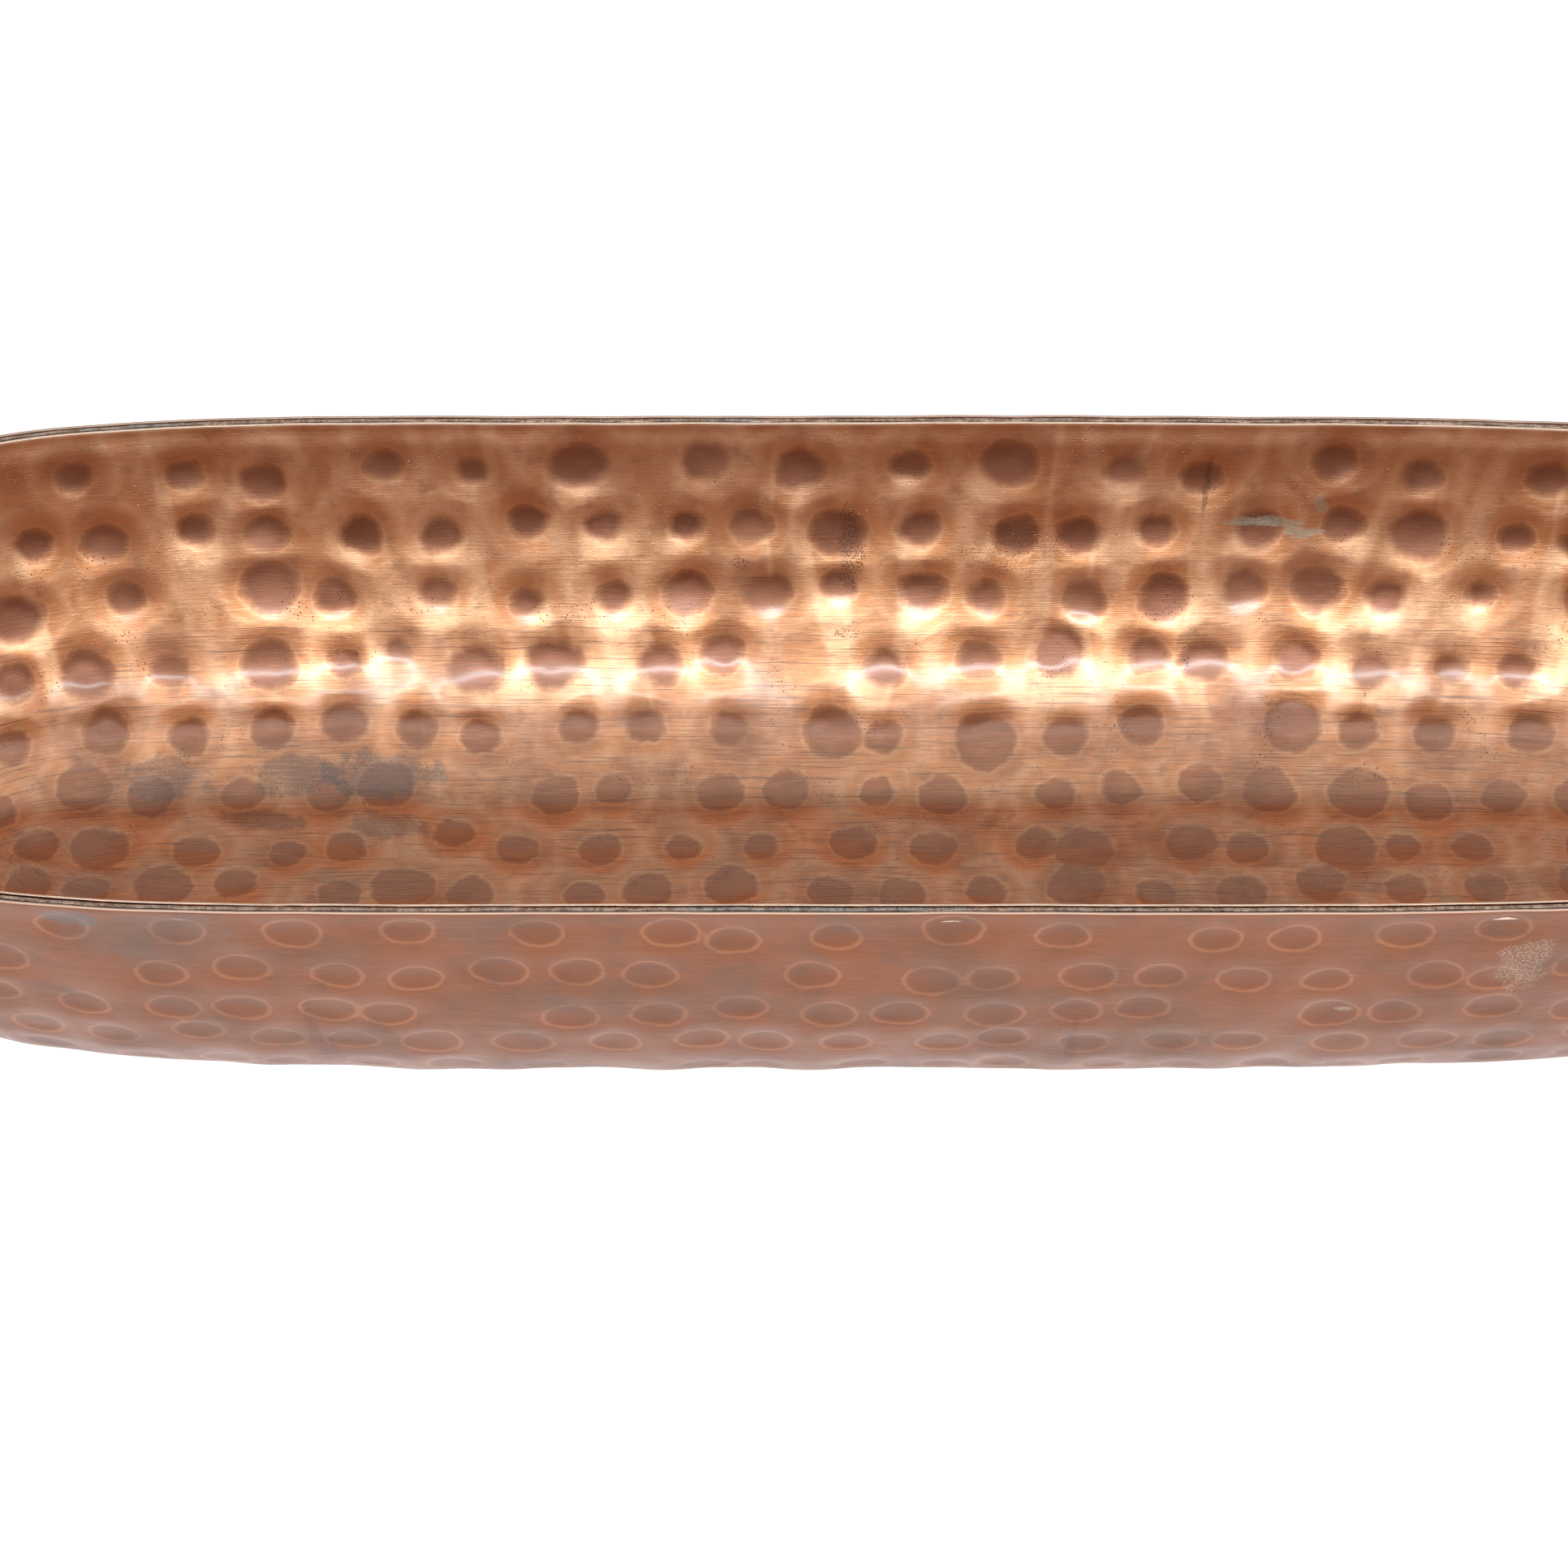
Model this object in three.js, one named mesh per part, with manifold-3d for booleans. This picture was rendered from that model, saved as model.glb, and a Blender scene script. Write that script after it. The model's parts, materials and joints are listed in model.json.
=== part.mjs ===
// A double-walled freestanding bathtub of hammered copper sheet, with a cable-operated
// pop-up waste and overflow, an inner cradle and levelling feet.
// Millimetres. +X runs along the tub towards the foot (waste) end, +Z is up, and the
// origin is on the floor under the middle of the rim.

import * as THREE from 'three';
import { mergeVertices } from 'three/addons/utils/BufferGeometryUtils.js';
import Module from 'manifold-3d';

const wasm = await Module();
wasm.setup();

// Driving dimensions.
const LENGTH = 2100;
const WIDTH = 660;
const HEIGHT = 505;
const SHEET = 2; // copper sheet of both skins
const RIM_THICKNESS = 8; // both skins and the brazed fill between them
const FIT = 0.3; // gap left between pieces that touch

const SHELL_DEPTH = 440; // rim to the shell's flat underside
const BASIN_DEPTH = 348; // rim to the basin's floor
const RIM_SQUARENESS = 5.5; // superellipse exponent of the plan at the rim
const SHELL_BASE_SQUARENESS = 4;
const BASIN_FLOOR_SQUARENESS = 5.5;

// How far each wall has come in from the rim at the three lower control points of its
// cubic profile. All profiles of one skin share the depths of those points.
const SHELL_PROFILE = { depth1: 190, side: [24, 46, 198], foot: [8, 20, 110], head: [8, 20, 110] };
const BASIN_PROFILE = { depth1: 125, side: [24, 140, 242], foot: [45, 75, 110], head: [30, 55, 75] };

const PLAN_SEGMENTS = 56;
const SHELL_STEPS = 8;
const BASIN_STEPS = 8;

// The waste, under the floor at the foot end.
const DRAIN_X = 885;
const DRAIN_RECESS_R = 38;
const DRAIN_RECESS_DEPTH = 3;
const DRAIN_HOLE_R = 26;
const FLANGE_R = 34;
const FLANGE_NECK_R = 25.5;
const THROAT_R = 22;
const STEM_R = 4;
const GUIDE_R = 4.3;
const BRANCH_Z = 118;
const WASTE_R = 20; // outside radius of the 40 mm waste tube
const WASTE_BORE_R = 17;
const WASTE_NUT = 48; // across flats
const ELBOW_DROP_X = 777;

// The overflow, on the foot-end wall.
const OVERFLOW_DEPTH = 115;
const OVERFLOW_HOLE_R = 24;
const OVERFLOW_BODY_R = 30;
const PIPE_R = 11;
const PIPE_BORE_R = 10;
const SOCKET_R = 13;
const PIPE_STANDOFF = 17; // pipe centre line behind the end wall's back face
const PIPE_NUT = 33; // across flats
const PIPE_FOOT_X = 965;
const OVERFLOW_BRANCH_Z = 115;

// The control cable.
const CABLE_R = 2.5;
const CABLE_Y = 19;
const CABLE_STANDOFF = 11;

// The base.
const PAN_Z = 69.5;
const PAN_THICKNESS = 3;
const RAIL_Y = 80;
const RAIL_HALF_LENGTH = 740;
const RAIL_WIDTH = 30;
const RAIL_HEIGHT = 20;
const RAIL_WALL = 2.5;
const SADDLE_THICKNESS = 22;
const SADDLE_HALF_WIDTH = 118;
const SADDLE_PAD = 3;
const PAD_GAP = 4 * FIT; // under the basin, whose facets cut across the pad's curve
const SADDLES = { head: -560, middle: 0, foot: 560 };
const PLINTH_INSET = 14;
const PLINTH_BOTTOM = 3;
const FOOT_X = 680;
const FOOT_PAD_R = 22;
const STUD_R = 5;
const STUD_NUT = 17; // across flats
const FOOT_PAD_SOLE = 5;
const ACCESS_X0 = 740; // opening in the pan, under the waste
const ACCESS_X1 = 923;
const ACCESS_HALF_WIDTH = 62;

const HALF_LENGTH = LENGTH / 2;
const HALF_WIDTH = WIDTH / 2;
const FLOOR_Z = HEIGHT - BASIN_DEPTH;
const RECESS_Z = FLOOR_Z - DRAIN_RECESS_DEPTH;
const PAN_TOP = PAN_Z + PAN_THICKNESS;
const RAIL_Z = PAN_TOP + FIT;
const RAIL_TOP = RAIL_Z + RAIL_HEIGHT;
const BASIN_INSET = RIM_THICKNESS; // rim outside to the basin's bathing face

// ---------------------------------------------------------------- plain helpers

function finish(color, roughness, metalness) {
  return new THREE.MeshStandardMaterial({ color, roughness, metalness });
}

const MATERIALS = {
  basinCopper: finish('#b0683f', 0.34, 1),
  shellCopper: finish('#9a654d', 0.42, 1),
  braze: finish('#6d5a4a', 0.7, 1),
  darkCopper: finish('#6f4a3a', 0.5, 1),
  zinc: finish('#9a9c9e', 0.45, 1),
  wood: finish('#a9834f', 0.75, 0),
  rubber: finish('#1d1d1e', 0.85, 0),
  brass: finish('#a9743f', 0.32, 1),
  plastic: finish('#e8e6df', 0.5, 0),
};

function solidOf(geometry) {
  const bare = geometry.clone();
  bare.deleteAttribute('normal');
  bare.deleteAttribute('uv');
  const merged = mergeVertices(bare, 1e-4);
  return new wasm.Manifold(new wasm.Mesh({
    numProp: 3,
    vertProperties: new Float32Array(merged.attributes.position.array),
    triVerts: new Uint32Array(merged.index.array),
  }));
}

function geometryOf(solid) {
  const mesh = solid.getMesh();
  const geometry = new THREE.BufferGeometry();
  geometry.setAttribute('position', new THREE.BufferAttribute(mesh.vertProperties, 3));
  geometry.setIndex(new THREE.BufferAttribute(mesh.triVerts, 1));
  geometry.computeVertexNormals();
  return geometry;
}

function combine(added, removed = []) {
  const whole = added.map(solidOf).reduce((sum, next) => sum.add(next));
  return geometryOf(removed.map(solidOf).reduce((rest, tool) => rest.subtract(tool), whole));
}

// A surface of revolution about +Z; the outline is a closed loop of [radius, z] pairs.
function turned(outline, sides = 20) {
  const loop = [...outline, outline[0]].map(([r, z]) => new THREE.Vector2(r, z));
  const geometry = new THREE.LatheGeometry(loop, sides);
  return geometry.rotateX(Math.PI / 2);
}

function ring(innerR, outerR, z0, z1, sides = 20) {
  return turned([[innerR, z0], [outerR, z0], [outerR, z1], [innerR, z1]], sides);
}

function rod(radius, z0, z1, sides = 16) {
  const geometry = new THREE.CylinderGeometry(radius, radius, z1 - z0, sides);
  return geometry.rotateX(Math.PI / 2).translate(0, 0, (z0 + z1) / 2);
}

function block(x0, x1, y0, y1, z0, z1) {
  const geometry = new THREE.BoxGeometry(x1 - x0, y1 - y0, z1 - z0);
  return geometry.translate((x0 + x1) / 2, (y0 + y1) / 2, (z0 + z1) / 2);
}

// A round bar along a curve.
function bar(curve, radius, steps, sides = 16) {
  const section = new THREE.Shape();
  for (let i = 0; i < sides; i += 1) {
    const angle = (2 * Math.PI * i) / sides;
    const x = radius * Math.cos(angle);
    const y = radius * Math.sin(angle);
    if (i === 0) section.moveTo(x, y);
    else section.lineTo(x, y);
  }
  section.closePath();
  return new THREE.ExtrudeGeometry(section, { extrudePath: curve, steps, curveSegments: 1 });
}

function cubic(values, t) {
  const [a, b, c] = values;
  return 3 * (1 - t) ** 2 * t * a + 3 * (1 - t) * t ** 2 * b + t ** 3 * c;
}

// ---------------------------------------------------------------- the tub's two skins

// Radius, in a unit superellipse, at a plan angle.
function unitRadius(angle, exponent) {
  const x = Math.abs(Math.cos(angle)) ** exponent;
  const y = Math.abs(Math.sin(angle)) ** exponent;
  return (x + y) ** (-1 / exponent);
}

// Plan angles of one quarter of the rim, closer together where the corner turns.
function quarterAngles(count) {
  const fine = 900;
  const angles = [];
  const points = [];
  for (let i = 0; i <= fine; i += 1) {
    const angle = (Math.PI / 2) * (i / fine);
    const radius = unitRadius(angle, RIM_SQUARENESS);
    angles.push(angle);
    points.push(new THREE.Vector2(
      HALF_LENGTH * radius * Math.cos(angle),
      HALF_WIDTH * radius * Math.sin(angle),
    ));
  }
  const lengths = [0];
  const turns = [0];
  let heading = new THREE.Vector2(0, 1);
  for (let i = 1; i <= fine; i += 1) {
    const step = points[i].clone().sub(points[i - 1]);
    lengths.push(lengths[i - 1] + step.length());
    turns.push(turns[i - 1] + step.angleTo(heading));
    heading = step;
  }
  const weight = (i) => lengths[i] / lengths[fine] + turns[i] / turns[fine];
  const chosen = [];
  let at = 0;
  for (let k = 0; k < count; k += 1) {
    while (weight(at) < (2 * k) / count) at += 1;
    chosen.push(angles[at]);
  }
  return chosen;
}

function planAngles() {
  const quarter = quarterAngles(PLAN_SEGMENTS / 4);
  const mirrored = quarter.slice(1).reverse().map((angle) => Math.PI - angle);
  const half = [...quarter, Math.PI / 2, ...mirrored];
  return [...half, ...half.map((angle) => angle + Math.PI)];
}

const ANGLES = planAngles();

// The plan of a skin where it has come in by the given amounts from the rim.
function outline(insets, exponent, z) {
  return ANGLES.map((angle) => {
    const radius = unitRadius(angle, exponent);
    const endwise = Math.cos(angle) >= 0 ? insets.foot : insets.head;
    return new THREE.Vector3(
      (HALF_LENGTH - endwise) * radius * Math.cos(angle),
      (HALF_WIDTH - insets.side) * radius * Math.sin(angle),
      z,
    );
  });
}

function insetsAt(profile, t, extra) {
  return {
    side: cubic(profile.side, t) + extra,
    foot: cubic(profile.foot, t) + extra,
    head: cubic(profile.head, t) + extra,
  };
}

function depthAt(profile, depth, t) {
  return cubic([profile.depth1, depth, depth], t);
}

function squareness(base, t) {
  return RIM_SQUARENESS + (base - RIM_SQUARENESS) * t;
}

function shellRing(t, extra = 0) {
  const z = HEIGHT - depthAt(SHELL_PROFILE, SHELL_DEPTH, t);
  return outline(insetsAt(SHELL_PROFILE, t, extra), squareness(SHELL_BASE_SQUARENESS, t), z);
}

function basinRing(t, extra = 0) {
  const z = HEIGHT - depthAt(BASIN_PROFILE, BASIN_DEPTH, t);
  const insets = insetsAt(BASIN_PROFILE, t, BASIN_INSET + extra);
  return outline(insets, squareness(BASIN_FLOOR_SQUARENESS, t), z);
}

// Moves each point of a stack of rings along the outward normal. The first ring, at the
// rim, only moves sideways, so that the sheet's edge stays level.
function thickened(rings, distance) {
  return rings.map((points, row) => points.map((point, column) => {
    const count = points.length;
    const above = rings[Math.max(row - 1, 0)][column];
    const below = rings[Math.min(row + 1, rings.length - 1)][column];
    const down = below.clone().sub(above);
    const around = points[(column + 1) % count].clone().sub(points[(column + count - 1) % count]);
    const normal = down.cross(around).normalize();
    if (row === 0) normal.setZ(0).normalize();
    return point.clone().addScaledVector(normal, distance);
  }));
}

// A closed skin through rings that follow one another around the section of a hoop.
function hoop(rings) {
  const count = rings[0].length;
  const positions = rings.flat().flatMap((point) => [point.x, point.y, point.z]);
  const faces = [];
  rings.forEach((points, row) => {
    const next = (row + 1) % rings.length;
    for (let i = 0; i < count; i += 1) {
      const j = (i + 1) % count;
      const corners = [row * count + i, row * count + j, next * count + j, next * count + i];
      faces.push(corners[0], corners[1], corners[2], corners[0], corners[2], corners[3]);
    }
  });
  const geometry = new THREE.BufferGeometry();
  geometry.setAttribute('position', new THREE.Float32BufferAttribute(positions, 3));
  geometry.setIndex(faces);
  return facingOut(geometry);
}

function signedVolume(geometry) {
  const { position } = geometry.attributes;
  const { index } = geometry;
  const corner = [new THREE.Vector3(), new THREE.Vector3(), new THREE.Vector3()];
  let sum = 0;
  for (let i = 0; i < index.count; i += 3) {
    corner.forEach((vector, k) => vector.fromBufferAttribute(position, index.getX(i + k)));
    sum += corner[0].dot(corner[1].clone().cross(corner[2])) / 6;
  }
  return sum;
}

function facingOut(geometry) {
  if (signedVolume(geometry) < 0) geometry.index.array.reverse();
  geometry.computeVertexNormals();
  return geometry;
}

function steps(count) {
  return Array.from({ length: count + 1 }, (_, i) => i / count);
}

// A circle round the waste whose points face the points of the floor's outline.
function wasteCircle(floorRing, radius, z) {
  return floorRing.map((point) => {
    const angle = Math.atan2(point.y, point.x - DRAIN_X);
    return new THREE.Vector3(DRAIN_X + radius * Math.cos(angle), radius * Math.sin(angle), z);
  });
}

function basinFace() {
  const rings = steps(BASIN_STEPS).map((t) => basinRing(t));
  const floorRing = rings[BASIN_STEPS];
  const recessLead = 2;
  const recessLip = 0.5;
  rings.push(wasteCircle(floorRing, DRAIN_RECESS_R + recessLead, FLOOR_Z - recessLip));
  rings.push(wasteCircle(floorRing, DRAIN_RECESS_R, RECESS_Z));
  rings.push(wasteCircle(floorRing, DRAIN_HOLE_R / 2, RECESS_Z));
  return rings;
}

// ---------------------------------------------------------------- the foot-end wall

// Profile parameter of the basin at a depth below the rim.
function basinStepAt(depth) {
  let low = 0;
  let high = 1;
  for (let i = 0; i < 40; i += 1) {
    const middle = (low + high) / 2;
    if (depthAt(BASIN_PROFILE, BASIN_DEPTH, middle) < depth) low = middle;
    else high = middle;
  }
  return low;
}

function endWallX(depth) {
  return HALF_LENGTH - BASIN_INSET - cubic(BASIN_PROFILE.foot, basinStepAt(depth));
}

function endWallTilt(depth) {
  const reach = 20;
  return Math.atan2(endWallX(depth - reach) - endWallX(depth + reach), 2 * reach);
}

const OVERFLOW_TILT = endWallTilt(OVERFLOW_DEPTH);

// A group whose +Z leaves the end wall square into the tub and whose +X runs up the wall.
function overflowGroup() {
  const group = new THREE.Group();
  group.position.set(endWallX(OVERFLOW_DEPTH), 0, HEIGHT - OVERFLOW_DEPTH);
  group.rotation.y = OVERFLOW_TILT - Math.PI / 2;
  group.updateMatrixWorld(true);
  return group;
}

const overflow = overflowGroup();

// A bar, ring or rod of the overflow laid along its local X axis.
function alongWall(geometry, y, z) {
  return geometry.rotateY(Math.PI / 2).translate(0, y, z);
}

function behindEndWall(depth, standoff, y) {
  return new THREE.Vector3(endWallX(depth) + SHEET + standoff, y, HEIGHT - depth);
}

// ---------------------------------------------------------------- skins, seam and base

function innerBasin() {
  const face = basinFace();
  const back = thickened(face, SHEET);
  const shell = hoop([...face, ...back.reverse()]);
  const reach = 12;
  const overflowHole = rod(OVERFLOW_HOLE_R, -reach, reach, 28).applyMatrix4(overflow.matrixWorld);
  const drainHole = rod(DRAIN_HOLE_R, -reach, reach, 28).translate(DRAIN_X, 0, RECESS_Z);
  return combine([shell], [overflowHole, drainHole]);
}

function shellFace() {
  return steps(SHELL_STEPS).map((t) => shellRing(t));
}

function outerShell() {
  const face = shellFace();
  const inside = thickened(face, -SHEET);
  return hoop([...face, ...inside.reverse()]);
}

// The brazed fill between the skins, along the whole rim.
function rimSeam() {
  const top = 1;
  const bottom = 24;
  const behindBasin = thickened(basinFace(), SHEET + 2 * FIT);
  const insideShell = thickened(shellFace(), -SHEET - 2 * FIT);
  const level = (rings, depth) => rings[0].map((point, i) => {
    const below = rings[1][i];
    return point.clone().lerp(below, depth / (point.z - below.z));
  });
  return hoop([
    level(insideShell, top),
    level(insideShell, bottom),
    level(behindBasin, bottom),
    level(behindBasin, top),
  ]);
}

function closedShape(points) {
  return new THREE.Shape(points.map((point) => new THREE.Vector2(point.x, point.y)));
}

function roundHole(x, y, radius) {
  return new THREE.Path().absarc(x, y, radius, 0, 2 * Math.PI, true);
}

function rectangle(x0, x1, y0, y1) {
  const points = [[x0, y0], [x1, y0], [x1, y1], [x0, y1]];
  return points.map(([x, y]) => new THREE.Vector2(x, y));
}

const FOOT_PLACES = {
  head_left: [-FOOT_X, RAIL_Y],
  head_right: [-FOOT_X, -RAIL_Y],
  foot_left: [FOOT_X, RAIL_Y],
  foot_right: [FOOT_X, -RAIL_Y],
};

function bottomPan() {
  const lap = 6;
  const plan = closedShape(shellRing(1, -lap));
  Object.values(FOOT_PLACES).forEach(([x, y]) => plan.holes.push(roundHole(x, y, STUD_R + FIT)));
  const access = rectangle(ACCESS_X0, ACCESS_X1, -ACCESS_HALF_WIDTH, ACCESS_HALF_WIDTH);
  plan.holes.push(new THREE.Path(access.reverse()));
  const plate = new THREE.ExtrudeGeometry(plan, {
    depth: PAN_THICKNESS, bevelEnabled: false, curveSegments: 12,
  });
  return plate.translate(0, 0, PAN_Z);
}

function plinthBand() {
  const top = HEIGHT - SHELL_DEPTH - FIT;
  const level = (extra, z) => shellRing(1, extra).map((point) => point.setZ(z));
  return hoop([
    level(PLINTH_INSET, PLINTH_BOTTOM),
    level(PLINTH_INSET, top),
    level(PLINTH_INSET + SHEET, top),
    level(PLINTH_INSET + SHEET, PLINTH_BOTTOM),
  ]);
}

function cradleRail(y) {
  const halfWidth = RAIL_WIDTH / 2;
  const section = new THREE.Shape(rectangle(-RAIL_HEIGHT, 0, -halfWidth, halfWidth));
  section.holes.push(new THREE.Path(rectangle(
    RAIL_WALL - RAIL_HEIGHT, -RAIL_WALL, RAIL_WALL - halfWidth, halfWidth - RAIL_WALL,
  ).reverse()));
  const length = 2 * RAIL_HALF_LENGTH;
  const tube = new THREE.ExtrudeGeometry(section, { depth: length, bevelEnabled: false });
  tube.rotateY(Math.PI / 2).translate(-RAIL_HALF_LENGTH, y, RAIL_Z);
  const holes = [-FOOT_X, FOOT_X].map((x) => (
    rod(STUD_R + FIT, RAIL_Z - 1, RAIL_TOP + 1).translate(x, y, 0)
  ));
  return combine([tube], holes);
}

// Height of the basin's underside on the section at x, y.
function undersideAt(x, y) {
  const reach = (t) => {
    const insets = insetsAt(BASIN_PROFILE, t, BASIN_INSET);
    const half = HALF_LENGTH - (x > 0 ? insets.foot : insets.head);
    const exponent = squareness(BASIN_FLOOR_SQUARENESS, t);
    return (HALF_WIDTH - insets.side) * (1 - Math.abs(x / half) ** exponent) ** (1 / exponent);
  };
  let low = 0;
  let high = 1;
  for (let i = 0; i < 30; i += 1) {
    const middle = (low + high) / 2;
    if (reach(middle) > Math.abs(y)) low = middle;
    else high = middle;
  }
  return HEIGHT - depthAt(BASIN_PROFILE, BASIN_DEPTH, low) - SHEET;
}

function cradleCurve(x, drop) {
  const count = 12;
  return Array.from({ length: count + 1 }, (_, i) => {
    const y = SADDLE_HALF_WIDTH * ((2 * i) / count - 1);
    return new THREE.Vector2(y, undersideAt(x, y) - drop);
  });
}

// A plate in the YZ plane, centred on x.
function crossPlate(points, x, thickness) {
  const geometry = new THREE.ExtrudeGeometry(new THREE.Shape(points), {
    depth: thickness, bevelEnabled: false,
  });
  geometry.rotateX(Math.PI / 2).rotateZ(Math.PI / 2);
  return geometry.translate(x - thickness / 2, 0, 0);
}

function saddle(x) {
  const foot = RAIL_TOP + FIT;
  const archHalf = RAIL_Y - RAIL_WIDTH;
  const crownHalf = archHalf * 0.7;
  const archRise = 22;
  const top = cradleCurve(x, PAD_GAP + SADDLE_PAD + FIT).reverse();
  const arch = new THREE.Vector2(0, archRise);
  const under = [
    new THREE.Vector2(-SADDLE_HALF_WIDTH, foot),
    new THREE.Vector2(-archHalf, foot),
    new THREE.Vector2(-crownHalf, foot).add(arch),
    new THREE.Vector2(crownHalf, foot).add(arch),
    new THREE.Vector2(archHalf, foot),
    new THREE.Vector2(SADDLE_HALF_WIDTH, foot),
  ];
  return crossPlate([...under, ...top], x, SADDLE_THICKNESS);
}

function saddlePad(x) {
  const upper = cradleCurve(x, PAD_GAP).reverse();
  const lower = cradleCurve(x, PAD_GAP + SADDLE_PAD);
  return crossPlate([...lower, ...upper], x, SADDLE_THICKNESS);
}

function footPad() {
  const top = 18;
  return turned([
    [0, 0], [FOOT_PAD_R, 0], [FOOT_PAD_R, FOOT_PAD_SOLE], [FOOT_PAD_R - 4, FOOT_PAD_SOLE + 3],
    [STUD_R + 4, FOOT_PAD_SOLE + 5], [STUD_R + 3, top], [STUD_R + FIT, top],
    [STUD_R + FIT, FOOT_PAD_SOLE], [0, FOOT_PAD_SOLE],
  ], 16);
}

function footStud() {
  return rod(STUD_R, FOOT_PAD_SOLE + FIT, RAIL_TOP + 14, 12);
}

function hexNut(bore, acrossFlats, z0, z1, sides = 12) {
  const nut = new THREE.CylinderGeometry(
    acrossFlats / Math.sqrt(3), acrossFlats / Math.sqrt(3), z1 - z0, 6,
  );
  nut.rotateX(Math.PI / 2).translate(0, 0, (z0 + z1) / 2);
  return combine([nut], [rod(bore, z0 - 1, z1 + 1, sides)]);
}

function studNut(z0, z1) {
  return hexNut(STUD_R + FIT, STUD_NUT, z0, z1);
}

// ---------------------------------------------------------------- waste at the floor

const DRAIN_GASKET_TOP = RECESS_Z + 2;
const FLANGE_Z = DRAIN_GASKET_TOP + FIT;

function drainGasket() {
  return ring(DRAIN_HOLE_R, FLANGE_R - 1, RECESS_Z + FIT, DRAIN_GASKET_TOP);
}

function spider(reach, z0, z1) {
  const halfSpoke = 1.5;
  const spokes = [0, 1, 2].map((k) => (
    block(GUIDE_R + 1, reach, -halfSpoke, halfSpoke, z0, z1).rotateZ((2 * Math.PI * k) / 3)
  ));
  return [ring(GUIDE_R, GUIDE_R + 3.5, z0, z1), ...spokes];
}

function drainFlange() {
  const neckEnd = RECESS_Z - 26;
  const body = turned([
    [THROAT_R, neckEnd], [FLANGE_NECK_R, neckEnd], [FLANGE_NECK_R, FLANGE_Z], [FLANGE_R, FLANGE_Z],
    [FLANGE_R, FLANGE_Z + 1.5], [FLANGE_R - 2, FLANGE_Z + 2.5], [THROAT_R + 1.5, FLANGE_Z + 2.5],
    [THROAT_R, FLANGE_Z + 1],
  ]);
  return combine([body, ...spider(THROAT_R + 1, neckEnd + 2, neckEnd + 7)]);
}

const SHOE_GASKET = 2.5;
const SHOE_TOP = RECESS_Z - SHEET - SHOE_GASKET - 2 * FIT;
const SHOE_FLOOR = BRANCH_Z - WASTE_BORE_R;
const SHOE_R = 36;
const OUTLET_LENGTH = 30;
const OUTLET_X = DRAIN_X - SHOE_R - OUTLET_LENGTH;
const PORT_R = 3.3;
const PORT_END = SHOE_FLOOR - 14;
const LOWER_FERRULE_END = PORT_END - 14;

function shoeGasket() {
  return ring(DRAIN_HOLE_R + FIT, SHOE_R, SHOE_TOP + FIT, SHOE_TOP + FIT + SHOE_GASKET);
}

// The overflow branch: out of the shoe towards the end wall, then up to the pipe.
function overflowBranchPath(startX, topZ) {
  const bend = 20;
  const path = new THREE.CurvePath();
  const corner = new THREE.Vector3(PIPE_FOOT_X, 0, OVERFLOW_BRANCH_Z);
  const before = corner.clone().setX(PIPE_FOOT_X - bend);
  const after = corner.clone().setZ(OVERFLOW_BRANCH_Z + bend);
  path.add(new THREE.LineCurve3(new THREE.Vector3(startX, 0, OVERFLOW_BRANCH_Z), before));
  path.add(new THREE.QuadraticBezierCurve3(before, corner, after));
  path.add(new THREE.LineCurve3(after, new THREE.Vector3(PIPE_FOOT_X, 0, topZ)));
  return path;
}

const SOCKET_TOP = 152;
const SOCKET_STOP = 141;

function drainShoe() {
  const cupBottom = SHOE_FLOOR - 3;
  const chamberTop = SHOE_TOP - 21;
  const branchX = DRAIN_X + 20;
  const cup = rod(SHOE_R, cupBottom, SHOE_TOP, 20).translate(DRAIN_X, 0, 0);
  const boss = rod(PORT_R + 4, PORT_END, cupBottom + 1).translate(DRAIN_X, 0, 0);
  const outlet = rod(WASTE_R, 0, SHOE_R + OUTLET_LENGTH, 18).rotateY(-Math.PI / 2);
  const branch = bar(overflowBranchPath(branchX, SOCKET_TOP), SOCKET_R, 9, 14);
  const chamber = rod(SHOE_R - 4, SHOE_FLOOR, chamberTop, 20).translate(DRAIN_X, 0, 0);
  const throat = rod(FLANGE_NECK_R + FIT, chamberTop - 1, SHOE_TOP + 1, 24).translate(DRAIN_X, 0, 0);
  const port = rod(PORT_R, PORT_END - 1, SHOE_FLOOR + 1).translate(DRAIN_X, 0, 0);
  const outletBore = rod(WASTE_BORE_R, 10, SHOE_R + OUTLET_LENGTH + 1, 18).rotateY(-Math.PI / 2);
  const branchBore = bar(overflowBranchPath(branchX, SOCKET_STOP + 1), PIPE_BORE_R, 9, 14);
  const socket = rod(PIPE_R + FIT, SOCKET_STOP, SOCKET_TOP + 1).translate(PIPE_FOOT_X, 0, 0);
  return combine(
    [cup, boss, outlet.translate(DRAIN_X, 0, BRANCH_Z), branch],
    [chamber, throat, port, outletBore.translate(DRAIN_X, 0, BRANCH_Z), branchBore, socket],
  );
}

const ELBOW_END_Z = 66;

function wasteElbowPath(overrun) {
  const straight = 12;
  const bend = OUTLET_X - straight - ELBOW_DROP_X;
  const path = new THREE.CurvePath();
  const start = new THREE.Vector3(OUTLET_X - FIT + overrun, 0, BRANCH_Z);
  const before = new THREE.Vector3(OUTLET_X - straight, 0, BRANCH_Z);
  const corner = new THREE.Vector3(ELBOW_DROP_X, 0, BRANCH_Z);
  const after = new THREE.Vector3(ELBOW_DROP_X, 0, BRANCH_Z - bend);
  path.add(new THREE.LineCurve3(start, before));
  path.add(new THREE.QuadraticBezierCurve3(before, corner, after));
  path.add(new THREE.LineCurve3(after, new THREE.Vector3(ELBOW_DROP_X, 0, ELBOW_END_Z - overrun)));
  return path;
}

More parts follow.
